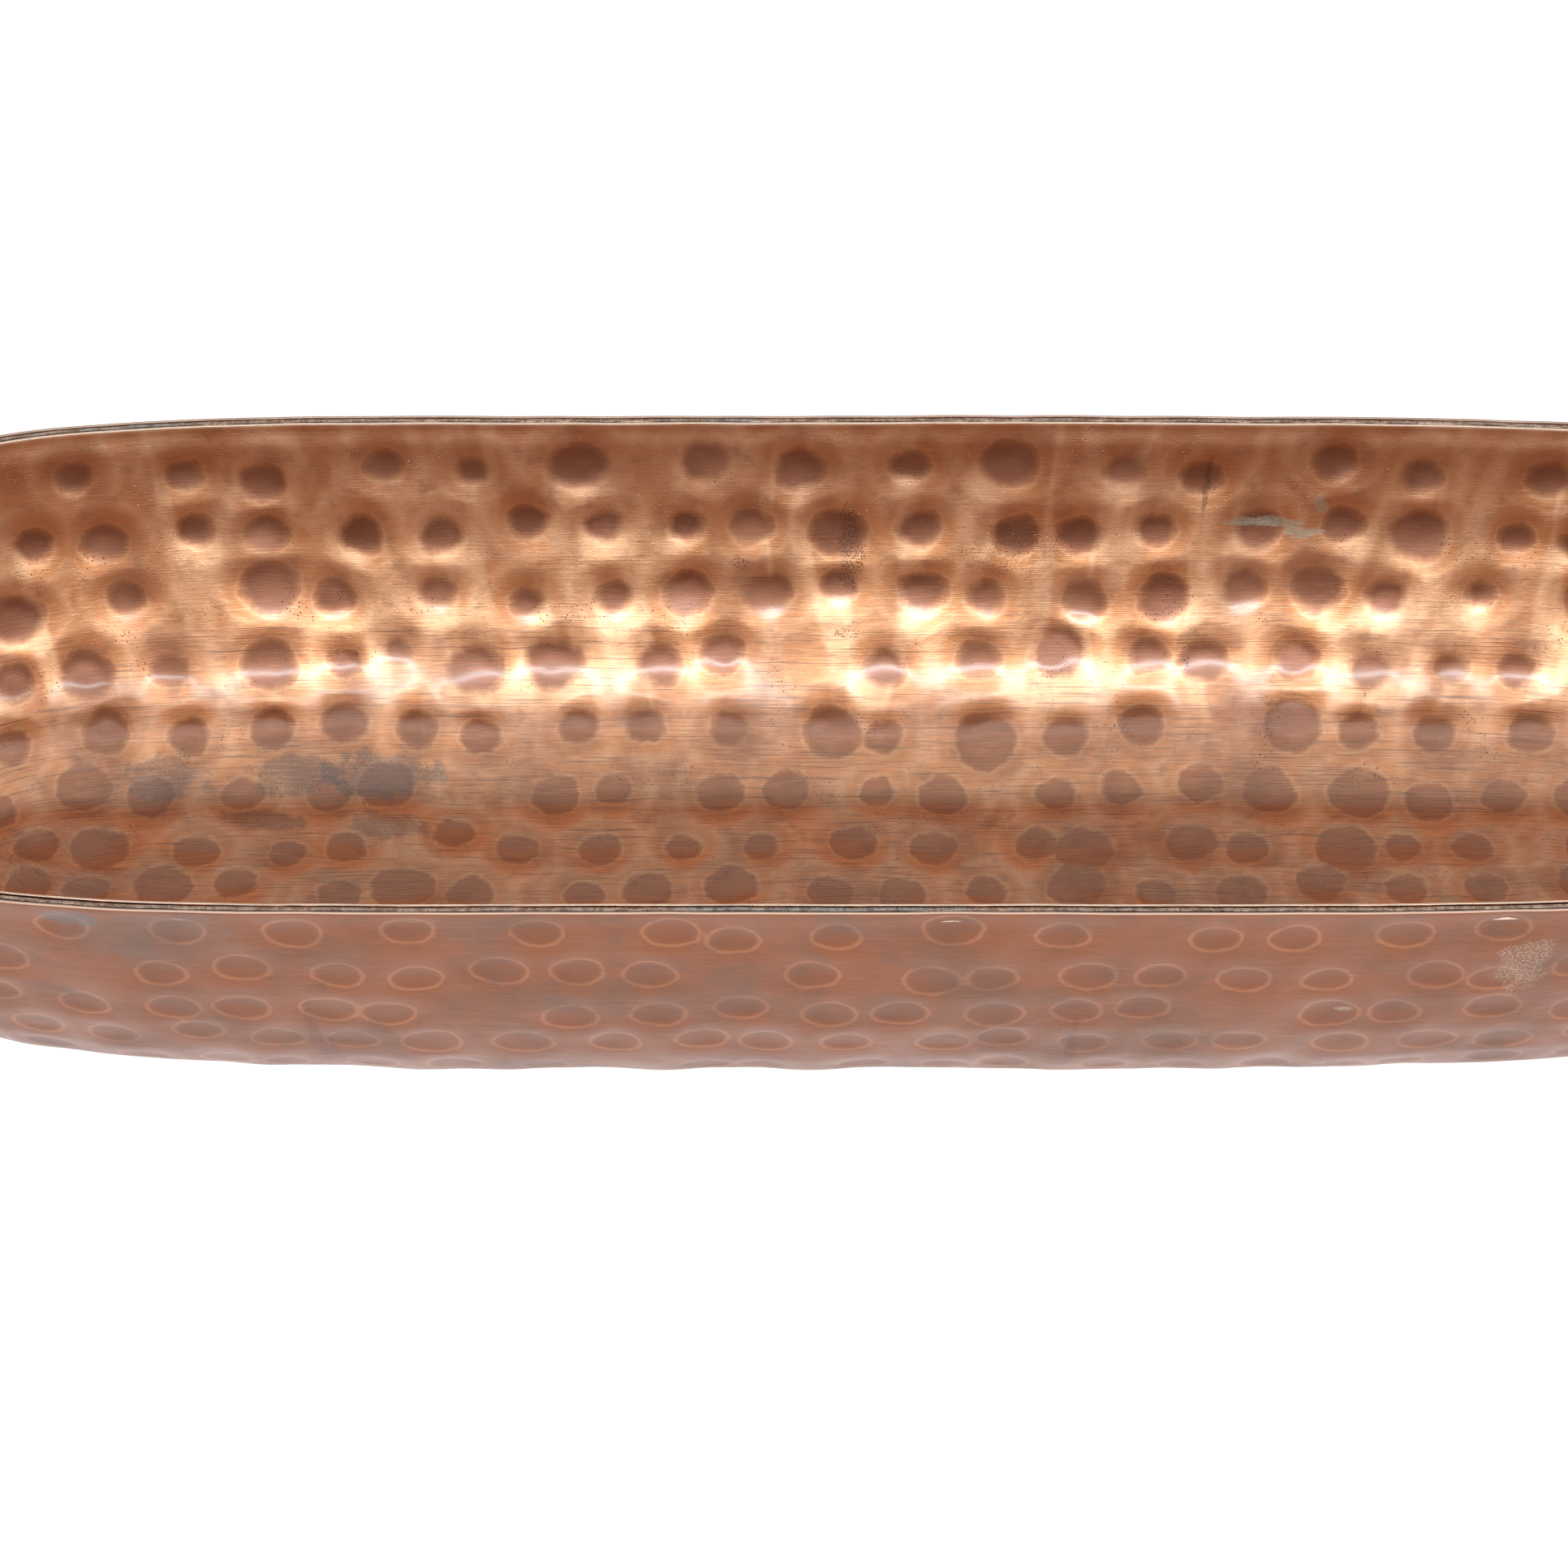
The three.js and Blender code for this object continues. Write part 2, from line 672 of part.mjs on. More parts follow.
function wasteElbow() {
  const outside = bar(wasteElbowPath(0), WASTE_R, 10, 18);
  const bore = bar(wasteElbowPath(2), WASTE_BORE_R, 10, 18);
  return combine([outside], [bore]);
}

const TAILPIECE_END = 12;

function tailpiece() {
  const tube = ring(WASTE_BORE_R, WASTE_R, TAILPIECE_END, ELBOW_END_Z - FIT);
  return tube.translate(ELBOW_DROP_X, 0, 0);
}

function wasteNut() {
  const nut = hexNut(WASTE_R + FIT, WASTE_NUT, -10, 10, 24);
  return nut.rotateY(Math.PI / 2).translate(OUTLET_X + 1, 0, BRANCH_Z);
}

function tailpieceNut() {
  const nut = hexNut(WASTE_R + FIT, WASTE_NUT, -9, 9, 24);
  return nut.translate(ELBOW_DROP_X, 0, ELBOW_END_Z - 14);
}

// ---------------------------------------------------------------- pop-up stopper

const CAP_Z = FLANGE_Z + 3;
const HUB_END = FLANGE_Z - 9;
const SEAL_Z = FLANGE_Z - 3;
const STEM_TOP = HUB_END + 4 - FIT;
const STEM_END = RECESS_Z - 42;

function stopperCap() {
  const hubR = 18.5;
  const grooveR = 17;
  const grooveLow = SEAL_Z - 2.4;
  const grooveHigh = SEAL_Z + 2.4;
  return turned([
    [0, STEM_TOP + FIT], [STEM_R + FIT, STEM_TOP + FIT], [STEM_R + FIT, HUB_END],
    [hubR, HUB_END], [hubR, grooveLow], [grooveR, grooveLow], [grooveR, grooveHigh],
    [hubR, grooveHigh], [hubR, CAP_Z], [30, CAP_Z], [30.5, CAP_Z + 2], [27, CAP_Z + 4.5],
    [14, CAP_Z + 7], [0, CAP_Z + 7.6],
  ]);
}

function stopperSeal() {
  const centreR = 19.4;
  const halfThick = 2;
  const sides = 8;
  const section = Array.from({ length: sides }, (_, i) => {
    const angle = (2 * Math.PI * i) / sides;
    return [centreR + halfThick * Math.cos(angle), SEAL_Z + halfThick * Math.sin(angle)];
  });
  return turned(section);
}

function stopperStem() {
  return rod(STEM_R, STEM_END, STEM_TOP);
}

function cablePlunger() {
  return rod(PORT_R - FIT, PORT_END + 1, STEM_END - FIT, 16);
}

// ---------------------------------------------------------------- overflow on the end wall

const BODY_FRONT = -SHEET - 3.3;
const BODY_BACK = BODY_FRONT - 17;
const SPOUT_Z = -18.5;
const SPOUT_START = -18;
const SPOUT_END = -45;
const SPOUT_STOP = -34; // the bottom of its pipe socket
const SPINDLE_BACK = BODY_BACK + 5.5;
const SPINDLE_FRONT = 11;
const CABLE_PORT_Z = -13.7;
const FERRULE_BORE = 1.6;
const FERRULE_END = -40;

function overflowGasket() {
  return ring(OVERFLOW_HOLE_R + FIT, OVERFLOW_BODY_R, BODY_FRONT + FIT, -SHEET - 2 * FIT);
}

function overflowBody() {
  const cavityR = OVERFLOW_BODY_R - 3;
  const cup = rod(OVERFLOW_BODY_R, BODY_BACK, BODY_FRONT, 28);
  const spout = alongWall(rod(SOCKET_R, SPOUT_END, SPOUT_START), 0, SPOUT_Z);
  const cavity = rod(cavityR, BODY_BACK + 2, BODY_FRONT + 1, 28);
  const bore = alongWall(rod(PIPE_BORE_R, SPOUT_STOP - 4, SPOUT_START + 4), 0, SPOUT_Z);
  const socket = alongWall(rod(PIPE_R + FIT, SPOUT_END - 1, SPOUT_STOP), 0, SPOUT_Z);
  const port = alongWall(rod(FERRULE_BORE, SPOUT_STOP, SPOUT_START + 4, 10), CABLE_Y, CABLE_PORT_Z);
  return combine([cup, spout], [cavity, bore, socket, port]);
}

function overflowBezel() {
  const openR = 20;
  const neckR = OVERFLOW_HOLE_R - 0.5;
  const neckEnd = -11;
  const face = 3.2;
  const body = turned([
    [openR, neckEnd], [neckR, neckEnd], [neckR, 2 * FIT], [33, 2 * FIT], [33, 2], [31, face],
    [openR, face],
  ]);
  return combine([body, ...spider(openR + 1, -6, -1)]);
}

function knobSpindle() {
  const shaft = rod(GUIDE_R - FIT, SPINDLE_BACK, SPINDLE_FRONT);
  const arm = block(-3, 15, -3.5, 3.5, SPINDLE_BACK, SPINDLE_BACK + 3.5);
  return combine([shaft, arm]);
}

function overflowKnob() {
  const face = 15;
  const hubR = 9;
  const cap = turned([
    [0, SPINDLE_FRONT + FIT], [GUIDE_R, SPINDLE_FRONT + FIT], [GUIDE_R, 6], [hubR, 6],
    [hubR, 9.5], [28, 9.5], [28, 6.5], [31, 6.5], [31, 13], [29, face], [0, face],
  ], 32);
  const grip = block(-24, 24, -3.5, 3.5, face - 1, face + 7);
  return combine([cap, grip]);
}

function cableFerruleUpper() {
  const seat = -27.6;
  const ferrule = turned([
    [FERRULE_BORE, FERRULE_END], [4.4, FERRULE_END], [4.4, seat - 2.4], [3.6, seat],
    [FERRULE_BORE, seat],
  ], 16);
  return alongWall(ferrule, CABLE_Y, CABLE_PORT_Z);
}

function cableFerruleLower() {
  const collarR = PORT_R + 3.5;
  return turned([
    [0, LOWER_FERRULE_END], [5, LOWER_FERRULE_END], [5, PORT_END - 6], [collarR, PORT_END - 3],
    [collarR, PORT_END - FIT], [0, PORT_END - FIT],
  ], 16).translate(DRAIN_X, 0, 0);
}

function inOverflow(x, y, z) {
  return new THREE.Vector3(x, y, z).applyMatrix4(overflow.matrixWorld);
}

function overflowPipe() {
  const points = [
    inOverflow(SPOUT_STOP - 1, 0, SPOUT_Z),
    inOverflow(SPOUT_END, 0, SPOUT_Z),
    ...[195, 240, 285].map((depth) => behindEndWall(depth, PIPE_STANDOFF, 0)),
    new THREE.Vector3(PIPE_FOOT_X, 0, SOCKET_TOP + 12),
    new THREE.Vector3(PIPE_FOOT_X, 0, SOCKET_TOP + 4),
    new THREE.Vector3(PIPE_FOOT_X, 0, SOCKET_STOP + FIT),
  ];
  const path = new THREE.CatmullRomCurve3(points, false, 'centripetal');
  return combine([bar(path, PIPE_R, 16, 12)], [bar(overrun(path), PIPE_BORE_R, 16, 12)]);
}

// The same curve, carried a little past both ends so that a bore cut with it goes through.
function overrun(path) {
  const extra = 1;
  const first = path.getPointAt(0).addScaledVector(path.getTangentAt(0), -extra);
  const last = path.getPointAt(1).addScaledVector(path.getTangentAt(1), extra);
  return new THREE.CatmullRomCurve3([first, ...path.points.slice(1, -1), last], false, 'centripetal');
}

function pipeNut() {
  return hexNut(SOCKET_R + FIT, PIPE_NUT, -7, 7, 24).translate(PIPE_FOOT_X, 0, SOCKET_TOP);
}

// The sheathed cable, from the overflow down behind the end wall, under the shoe and up.
function wasteCable() {
  const top = LOWER_FERRULE_END - FIT;
  const points = [
    inOverflow(FERRULE_END - FIT, CABLE_Y, CABLE_PORT_Z),
    inOverflow(FERRULE_END - 12, CABLE_Y, CABLE_PORT_Z),
    ...[200, 250, 300].map((depth) => behindEndWall(depth, CABLE_STANDOFF, CABLE_Y + 6)),
    new THREE.Vector3(DRAIN_X + 76, 33, 152),
    new THREE.Vector3(DRAIN_X + 62, 34, 112),
    new THREE.Vector3(DRAIN_X + 28, 26, 80),
    new THREE.Vector3(DRAIN_X + 22, 16, 52),
    new THREE.Vector3(DRAIN_X + 13, 7, 38),
    new THREE.Vector3(DRAIN_X + 3, 1, 42),
    new THREE.Vector3(DRAIN_X, 0, top - 12),
    new THREE.Vector3(DRAIN_X, 0, top),
  ];
  const path = new THREE.CatmullRomCurve3(points, false, 'centripetal');
  return bar(path, CABLE_R, 36, 8);
}

// ---------------------------------------------------------------- assembly

const bathtub = new THREE.Group();

function place(parent, name, geometry, material) {
  const mesh = new THREE.Mesh(geometry, material);
  mesh.name = name;
  parent.add(mesh);
  return mesh;
}

function addTubBody(parent) {
  place(parent, 'inner_basin', innerBasin(), MATERIALS.basinCopper);
  place(parent, 'outer_shell', outerShell(), MATERIALS.shellCopper);
  place(parent, 'rim_seam', rimSeam(), MATERIALS.braze);
  place(parent, 'bottom_pan', bottomPan(), MATERIALS.darkCopper);
  place(parent, 'plinth_band', plinthBand(), MATERIALS.darkCopper);
}

function addCradle(parent) {
  place(parent, 'cradle_rail_left', cradleRail(RAIL_Y), MATERIALS.zinc);
  place(parent, 'cradle_rail_right', cradleRail(-RAIL_Y), MATERIALS.zinc);
  Object.entries(SADDLES).forEach(([name, x]) => {
    place(parent, `saddle_${name}`, saddle(x), MATERIALS.wood);
    place(parent, `saddle_pad_${name}`, saddlePad(x), MATERIALS.rubber);
  });
}

function addFeet(parent) {
  Object.entries(FOOT_PLACES).forEach(([name, [x, y]]) => {
    const foot = new THREE.Group();
    foot.position.set(x, y, 0);
    place(foot, `foot_pad_${name}`, footPad(), MATERIALS.rubber);
    place(foot, `foot_stud_${name}`, footStud(), MATERIALS.zinc);
    place(foot, `foot_lock_nut_${name}`, studNut(PAN_Z - 8, PAN_Z - FIT), MATERIALS.zinc);
    place(foot, `foot_top_nut_${name}`, studNut(RAIL_TOP + FIT, RAIL_TOP + 8), MATERIALS.zinc);
    parent.add(foot);
  });
}

function addWaste(parent) {
  const axis = new THREE.Group();
  axis.position.x = DRAIN_X;
  place(axis, 'drain_gasket', drainGasket(), MATERIALS.rubber);
  place(axis, 'drain_flange', drainFlange(), MATERIALS.brass);
  place(axis, 'shoe_gasket', shoeGasket(), MATERIALS.rubber);
  place(axis, 'stopper_cap', stopperCap(), MATERIALS.brass);
  place(axis, 'stopper_seal', stopperSeal(), MATERIALS.rubber);
  place(axis, 'stopper_stem', stopperStem(), MATERIALS.brass);
  place(axis, 'cable_plunger', cablePlunger(), MATERIALS.zinc);
  parent.add(axis);
  place(parent, 'drain_shoe', drainShoe(), MATERIALS.brass);
  place(parent, 'waste_elbow', wasteElbow(), MATERIALS.brass);
  place(parent, 'waste_nut', wasteNut(), MATERIALS.brass);
  place(parent, 'tailpiece', tailpiece(), MATERIALS.brass);
  place(parent, 'tailpiece_nut', tailpieceNut(), MATERIALS.brass);
}

function addOverflow(parent) {
  place(overflow, 'overflow_bezel', overflowBezel(), MATERIALS.brass);
  place(overflow, 'overflow_gasket', overflowGasket(), MATERIALS.rubber);
  place(overflow, 'overflow_body', overflowBody(), MATERIALS.brass);
  place(overflow, 'overflow_knob', overflowKnob(), MATERIALS.brass);
  place(overflow, 'knob_spindle', knobSpindle(), MATERIALS.brass);
  place(overflow, 'cable_ferrule_upper', cableFerruleUpper(), MATERIALS.zinc);
  parent.add(overflow);
  place(parent, 'overflow_pipe', overflowPipe(), MATERIALS.brass);
  place(parent, 'overflow_pipe_nut', pipeNut(), MATERIALS.brass);
  place(parent, 'waste_cable', wasteCable(), MATERIALS.plastic);
  place(parent, 'cable_ferrule_lower', cableFerruleLower(), MATERIALS.zinc);
}

addTubBody(bathtub);
addCradle(bathtub);
addFeet(bathtub);
addWaste(bathtub);
addOverflow(bathtub);

export default bathtub;
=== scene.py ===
"""The looks of a double-walled hammered copper bathtub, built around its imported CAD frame.

Metres, +X towards the foot (waste) end, +Z up. Both skins are rebuilt as dense sheets
that follow the CAD's profiles and carry real hammer dents.
"""

import json
import math

import bmesh
import bpy
import numpy as np
from mathutils import Matrix, Vector


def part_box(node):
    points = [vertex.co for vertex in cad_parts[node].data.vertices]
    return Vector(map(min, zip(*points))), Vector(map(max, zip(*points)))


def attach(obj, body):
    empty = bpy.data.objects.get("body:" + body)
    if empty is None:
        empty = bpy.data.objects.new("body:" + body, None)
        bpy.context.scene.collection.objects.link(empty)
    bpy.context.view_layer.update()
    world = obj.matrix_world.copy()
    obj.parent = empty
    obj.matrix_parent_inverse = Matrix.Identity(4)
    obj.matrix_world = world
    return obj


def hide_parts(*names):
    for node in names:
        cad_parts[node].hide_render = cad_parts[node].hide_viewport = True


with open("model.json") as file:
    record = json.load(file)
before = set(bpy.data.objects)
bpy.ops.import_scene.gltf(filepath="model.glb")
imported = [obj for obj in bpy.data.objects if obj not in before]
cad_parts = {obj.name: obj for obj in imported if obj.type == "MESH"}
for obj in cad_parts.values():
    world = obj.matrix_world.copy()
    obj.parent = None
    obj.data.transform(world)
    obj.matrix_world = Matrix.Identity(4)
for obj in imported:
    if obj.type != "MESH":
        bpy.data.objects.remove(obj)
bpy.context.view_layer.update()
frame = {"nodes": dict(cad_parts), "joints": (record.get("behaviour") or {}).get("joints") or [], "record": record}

MM = 0.001

SHELL_LOW, SHELL_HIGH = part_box("outer_shell")
BASIN_LOW, BASIN_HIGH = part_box("inner_basin")
DRAIN_LOW, DRAIN_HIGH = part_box("drain_flange")
HALF_LENGTH = SHELL_HIGH.x
HALF_WIDTH = SHELL_HIGH.y
HEIGHT = SHELL_HIGH.z
SHEET = 2 * MM
SHELL_DEPTH = HEIGHT - SHELL_LOW.z
BASIN_INSET = HALF_WIDTH - BASIN_HIGH.y + SHEET
RECESS_DEPTH = 3 * MM
BASIN_DEPTH = HEIGHT - BASIN_LOW.z - SHEET - RECESS_DEPTH
DRAIN_X = (DRAIN_LOW.x + DRAIN_HIGH.x) / 2
KNOB_JOINT = next(joint for joint in frame["joints"] if joint["name"] == "knob_turn")

# The walls' cubic profiles, as in the CAD: how far each wall has come in from the rim at
# the three lower control points, and the depth of the first of those points. "row" is the
# distance between the mesh's rows.
RIM_SQUARENESS = 5.5
SHELL_PROFILE = {
    "depth": SHELL_DEPTH, "depth1": 190 * MM, "extra": 0.0, "base_squareness": 4.0,
    "side": (24 * MM, 46 * MM, 198 * MM),
    "foot": (8 * MM, 20 * MM, 110 * MM),
    "head": (8 * MM, 20 * MM, 110 * MM),
    "row": 5.6 * MM,
}
BASIN_PROFILE = {
    "depth": BASIN_DEPTH, "depth1": 125 * MM, "extra": BASIN_INSET, "base_squareness": 5.5,
    "side": (24 * MM, 140 * MM, 242 * MM),
    "foot": (45 * MM, 75 * MM, 110 * MM),
    "head": (30 * MM, 55 * MM, 75 * MM),
    "row": 5.4 * MM,
}

FLOOR_ROW = 5.6 * MM
COLUMNS = 860

# To make room for its dents, the basin's face is raised off the CAD's by DENT_ALLOWANCE.
# The shell's face is set back by half of that, to keep its raised metal near the CAD's box.
DENT_ALLOWANCE = 2.6 * MM
DEEPEST = 3.4 * MM  # how far a dent goes below the basin's raised face at most
PLATEAU = 2.0 * MM  # how far the metal between dents stands above their edges
PLATEAU_RUN = 15 * MM  # how far from a dent's edge most of that height is reached
SWELL = 1.5 * MM  # the height of the sheet's long, slow waves
RIPPLE = 0.12 * MM  # the height of its short ones
NO_DENT = 35.0  # the edge mark of a place far from any dent, in millimetres
DENT_REACH = 70 * MM  # no dent changes the sheet farther than this from its centre
SAME_WALL = 30 * MM  # what is farther than this off a dent's plane is another wall
SEAM_ROWS = 14  # the rows over which the floor calms down towards its middle line
MISSED_BLOWS = 0.03  # the share of the dents that is left out
STRAY_ALONG = 0.13  # how far a dent strays along its row, as a share of the spacing
STRAY_DOWN = 6 * MM  # how far a dent strays up or down from its row
UNEVEN_PITCH = (0.95, 1.05)  # the least and most of the pitch from one row to the next
PAST_THE_END = 0.3  # the share of a pitch by which the last row may overshoot the sheet
FULL_TURN = 6.3  # radians, rounded up
STRAIGHT_DOWN = (0, 0, -1)
RIM_SWAY_RUN = 80 * MM  # how far below the rim its sway has mostly died out

# The hammer work on each skin: the first row's depth below the rim, the distance between
# rows, the distance between dents, and the dents' radius, depth and stock of sizes.
BASIN_WORK = {
    "seed": 11, "first": 0.050, "pitch": 0.073, "spacing": 0.086, "first_spacing": 0.111,
    "radius": (0.0215, 0.0270), "depth": (1.6 * MM, 2.6 * MM), "sizes": (0.85, 1, 1, 1, 1.25),
}
SHELL_WORK = {
    "seed": 23, "first": 0.043, "pitch": 0.076, "spacing": 0.082, "first_spacing": 0.109,
    "radius": (0.0235, 0.0265), "depth": (1.5 * MM, 2.3 * MM), "sizes": (0.95, 1, 1, 1.1),
}

# Distances from the waste's and the overflow's axes: the recess's flat bottom and its brim,
# and where the hammer work begins and reaches its full height.
RECESS_BOTTOM, RECESS_BRIM, RECESS_LIMIT = 0.036, 0.050, 0.075
WASTE_CALM = (0.040, 0.070)
OVERFLOW_CALM = (0.038, 0.062)
WASTE_HOLE_MM = 26  # the holes' radii
OVERFLOW_HOLE_MM = 24
FILL_DEPTH = 20 * MM  # how far the brazed fill reaches down between the sheets


# ---------------------------------------------------------------- the sheets' shape

def unit_radius(angle, exponent):
    """The radius of a squared circle (a superellipse) that just fits in a square of side 2."""
    x = np.abs(np.cos(angle)) ** exponent
    y = np.abs(np.sin(angle)) ** exponent
    return (x + y) ** (-1 / exponent)


def plan_angles(count):
    """Plan angles that are evenly spaced along the rim, starting at the head end."""
    fine = np.linspace(0, math.pi / 2, 4001)
    radius = unit_radius(fine, RIM_SQUARENESS)
    x = HALF_LENGTH * radius * np.cos(fine)
    y = HALF_WIDTH * radius * np.sin(fine)
    length = np.concatenate([[0], np.cumsum(np.hypot(np.diff(x), np.diff(y)))])
    per_quarter = count // 4
    quarter = np.interp(np.arange(per_quarter) / per_quarter * length[-1], length, fine)
    half = np.concatenate([quarter, [math.pi / 2], math.pi - quarter[:0:-1]])
    around = np.concatenate([half, half + math.pi])
    return np.roll(around, -2 * per_quarter), 4 * length[-1]


ANGLES, PERIMETER = plan_angles(COLUMNS)
AROUND = np.arange(COLUMNS) / COLUMNS * PERIMETER


def cubic(values, t):
    """A cubic Bezier curve that starts from 0, given its other three control values."""
    a, b, c = values
    return 3 * (1 - t) ** 2 * t * a + 3 * (1 - t) * t ** 2 * b + t ** 3 * c


def profile_depth(profile, t):
    """How far below the rim a wall's outline lies."""
    return cubic((profile["depth1"], profile["depth"], profile["depth"]), t)


def ring(profile, t, inward=0.0):
    """One level outline of a skin, as COLUMNS points."""
    exponent = RIM_SQUARENESS + (profile["base_squareness"] - RIM_SQUARENESS) * t
    radius = unit_radius(ANGLES, exponent)
    side = HALF_WIDTH - cubic(profile["side"], t) - profile["extra"] - inward
    foot = HALF_LENGTH - cubic(profile["foot"], t) - profile["extra"] - inward
    head = HALF_LENGTH - cubic(profile["head"], t) - profile["extra"] - inward
    ends = np.where(np.cos(ANGLES) >= 0, foot, head)
    x = ends * radius * np.cos(ANGLES)
    y = side * radius * np.sin(ANGLES)
    return np.stack([x, y, np.full(COLUMNS, HEIGHT - profile_depth(profile, t))], axis=1)


def wall_rings(profile):
    """The wall's outlines from the rim down, spaced evenly along the long side's arc."""
    t = np.linspace(0, 1, 2001)
    steps = np.hypot(np.diff(cubic(profile["side"], t)), np.diff(profile_depth(profile, t)))
    arc = np.concatenate([[0], np.cumsum(steps)])
    count = int(round(arc[-1] / profile["row"]))
    even = np.interp(np.linspace(0, arc[-1], count + 1), arc, t)
    return [ring(profile, t) for t in even]


def floor_rings(profile):
    """The flat floor's outlines, shrinking from the wall's foot to a line along the middle."""
    half_floor = HALF_WIDTH - profile["extra"] - profile["side"][2]
    count = int(round(half_floor / FLOOR_ROW))
    rings = [ring(profile, 1.0, inward=half_floor * step / count) for step in range(1, count + 1)]
    rings[-1][:, 1] = 0.0
    return rings


def down_lengths(rings):
    """Distance from the rim along each column."""
    steps = np.linalg.norm(np.diff(rings, axis=0), axis=2)
    return np.concatenate([np.zeros((1, COLUMNS)), np.cumsum(steps, axis=0)])


def tangents(rings):
    """Unit vectors round the tub and down the sheet, at each point of the rings."""
    around = np.roll(rings, -1, axis=1) - np.roll(rings, 1, axis=1)
    down = np.gradient(rings, axis=0)
    around /= np.maximum(np.linalg.norm(around, axis=2, keepdims=True), 1e-9)
    down -= around * (down * around).sum(axis=2, keepdims=True)
    down /= np.maximum(np.linalg.norm(down, axis=2, keepdims=True), 1e-9)
    return around, down


def outward_normals(rings):
    """Unit normals that point out of the tub, level along the rim."""
    around, down = tangents(rings)
    normal = np.cross(down, around)
    normal /= np.maximum(np.linalg.norm(normal, axis=2, keepdims=True), 1e-9)
    normal[0, :, 2] = 0
    normal[0] /= np.linalg.norm(normal[0], axis=1, keepdims=True)
    return normal


# ---------------------------------------------------------------- hammer work

def smooth(x, low, high):
    """0 below low, 1 above high, and a smooth run between them."""
    share = np.clip((x - low) / (high - low), 0, 1)
    return share * share * (3 - 2 * share)


def waves(rng, around, down, count, shortest, longest, stretch=1.0):
    """A seeded sum of waves over the sheet that closes on itself round the tub, about -1 to 1."""
    total = np.zeros(np.broadcast(around, down).shape)
    for _ in range(count):
        length = rng.uniform(shortest, longest)
        heading = rng.uniform(-math.pi, math.pi)
        turns = round(PERIMETER / length * math.cos(heading))
        down_rate = math.sin(heading) / (length * stretch)
        phase = rng.uniform(0, 2 * math.pi)
        total += np.sin(2 * math.pi * (turns * around / PERIMETER + down_rate * down) + phase)
    return total / math.sqrt(count)


RIM_RNG = np.random.default_rng(7)
RIM_SWAY = 1.1 * MM * waves(RIM_RNG, AROUND, 0 * AROUND, 6, 0.35, 1.4)
RIM_LIFT = 0.45 * MM * waves(RIM_RNG, AROUND, 0 * AROUND, 6, 0.12, 0.5)


def row_length(outline):
    """Length along a closed outline from its first point, at each point and back at the first."""
    steps = np.linalg.norm(np.roll(outline, -1, axis=0) - outline, axis=1)
    return np.concatenate([[0], np.cumsum(steps)])


def dent_places(rng, rings, down, work):
    """Each dent's row and column on the grid and its shift down from there.

    The rows are level with the rim, uneven and staggered.
    """
    side_down = down[:, COLUMNS // 4]
    places = []
    depth = work["first"]
    gap = work["first_spacing"]
    while depth < side_down[-1] + work["pitch"] * PAST_THE_END:
        row = min(int(np.searchsorted(side_down, min(depth, side_down[-1]))), len(rings) - 1)
        length = row_length(rings[row])
        count = max(1, int(round(length[-1] / gap)))
        offset = rng.uniform(0, 1)
        for i in range(count):
            if rng.uniform() < MISSED_BLOWS:
                continue
            along = (i + offset + rng.normal(0, STRAY_ALONG)) / count * length[-1]
            column = int(np.searchsorted(length, along % length[-1])) % COLUMNS
            places.append((row, column, rng.normal(0, STRAY_DOWN)))
        depth += work["pitch"] * rng.uniform(*UNEVEN_PITCH)
        gap = work["spacing"]
    return places


def blow(rng, across, along, work):
    """One dent, from each point's distances across and along the sheet from its centre.

    Returns how deep it is there, and the signed distance to its slightly wobbly edge.
    """
    size = rng.uniform(*work["radius"]) * rng.choice(work["sizes"])
    deepest = rng.uniform(*work["depth"]) * size / work["radius"][1]
    bearing = np.arctan2(along, across)
    turn = rng.uniform(0, FULL_TURN)
    wobble = 1 + rng.uniform(0.01, 0.08) * np.cos(2 * bearing) + 0.03 * np.cos(3 * bearing + turn)
    distance = np.hypot(across, along)
    signed = distance - size * wobble
    lean = 1 + rng.normal(0, 0.25) * across / size + rng.normal(-0.1, 0.25) * along / size
    dish = deepest * (1 - np.clip(distance / size / wobble, 0, 1) ** 2.2) * lean
    return dish * (signed < 0), signed


def hammer(rng, rings, places, work):
    """Height of the hammered face at every vertex, and distance to the nearest dent's edge."""
    around, down_way = tangents(rings)
    normal = np.cross(down_way, around)
    points = rings.reshape(-1, 3)
    edge = np.full(len(points), NO_DENT * MM)
    bowl = np.zeros(len(points))
    for row, column, shift in places:
        centre = rings[row, column] + down_way[row, column] * shift
        offset = points - centre
        near = np.flatnonzero((np.abs(offset) < DENT_REACH).all(axis=1))
        near = near[np.abs(offset[near] @ normal[row, column]) < SAME_WALL]
        across = offset[near] @ around[row, column]
        along = offset[near] @ down_way[row, column]
        dish, signed = blow(rng, across, along, work)
        bowl[near] = np.maximum(bowl[near], dish)
        edge[near] = np.minimum(edge[near], signed)
    plateau = PLATEAU * (1 - np.exp(-np.clip(edge, 0, None) / PLATEAU_RUN))
    shape = rings.shape[:2]
    return (plateau - bowl).reshape(shape), edge.reshape(shape)


def calm_middle(height):
    """Fades the unevenness out towards the floor's middle line, where its two halves meet."""
    last = len(height) - 1
    share = smooth(np.arange(len(height)), last + 1 - SEAM_ROWS, last)
    return height * (1 - share[:, None])


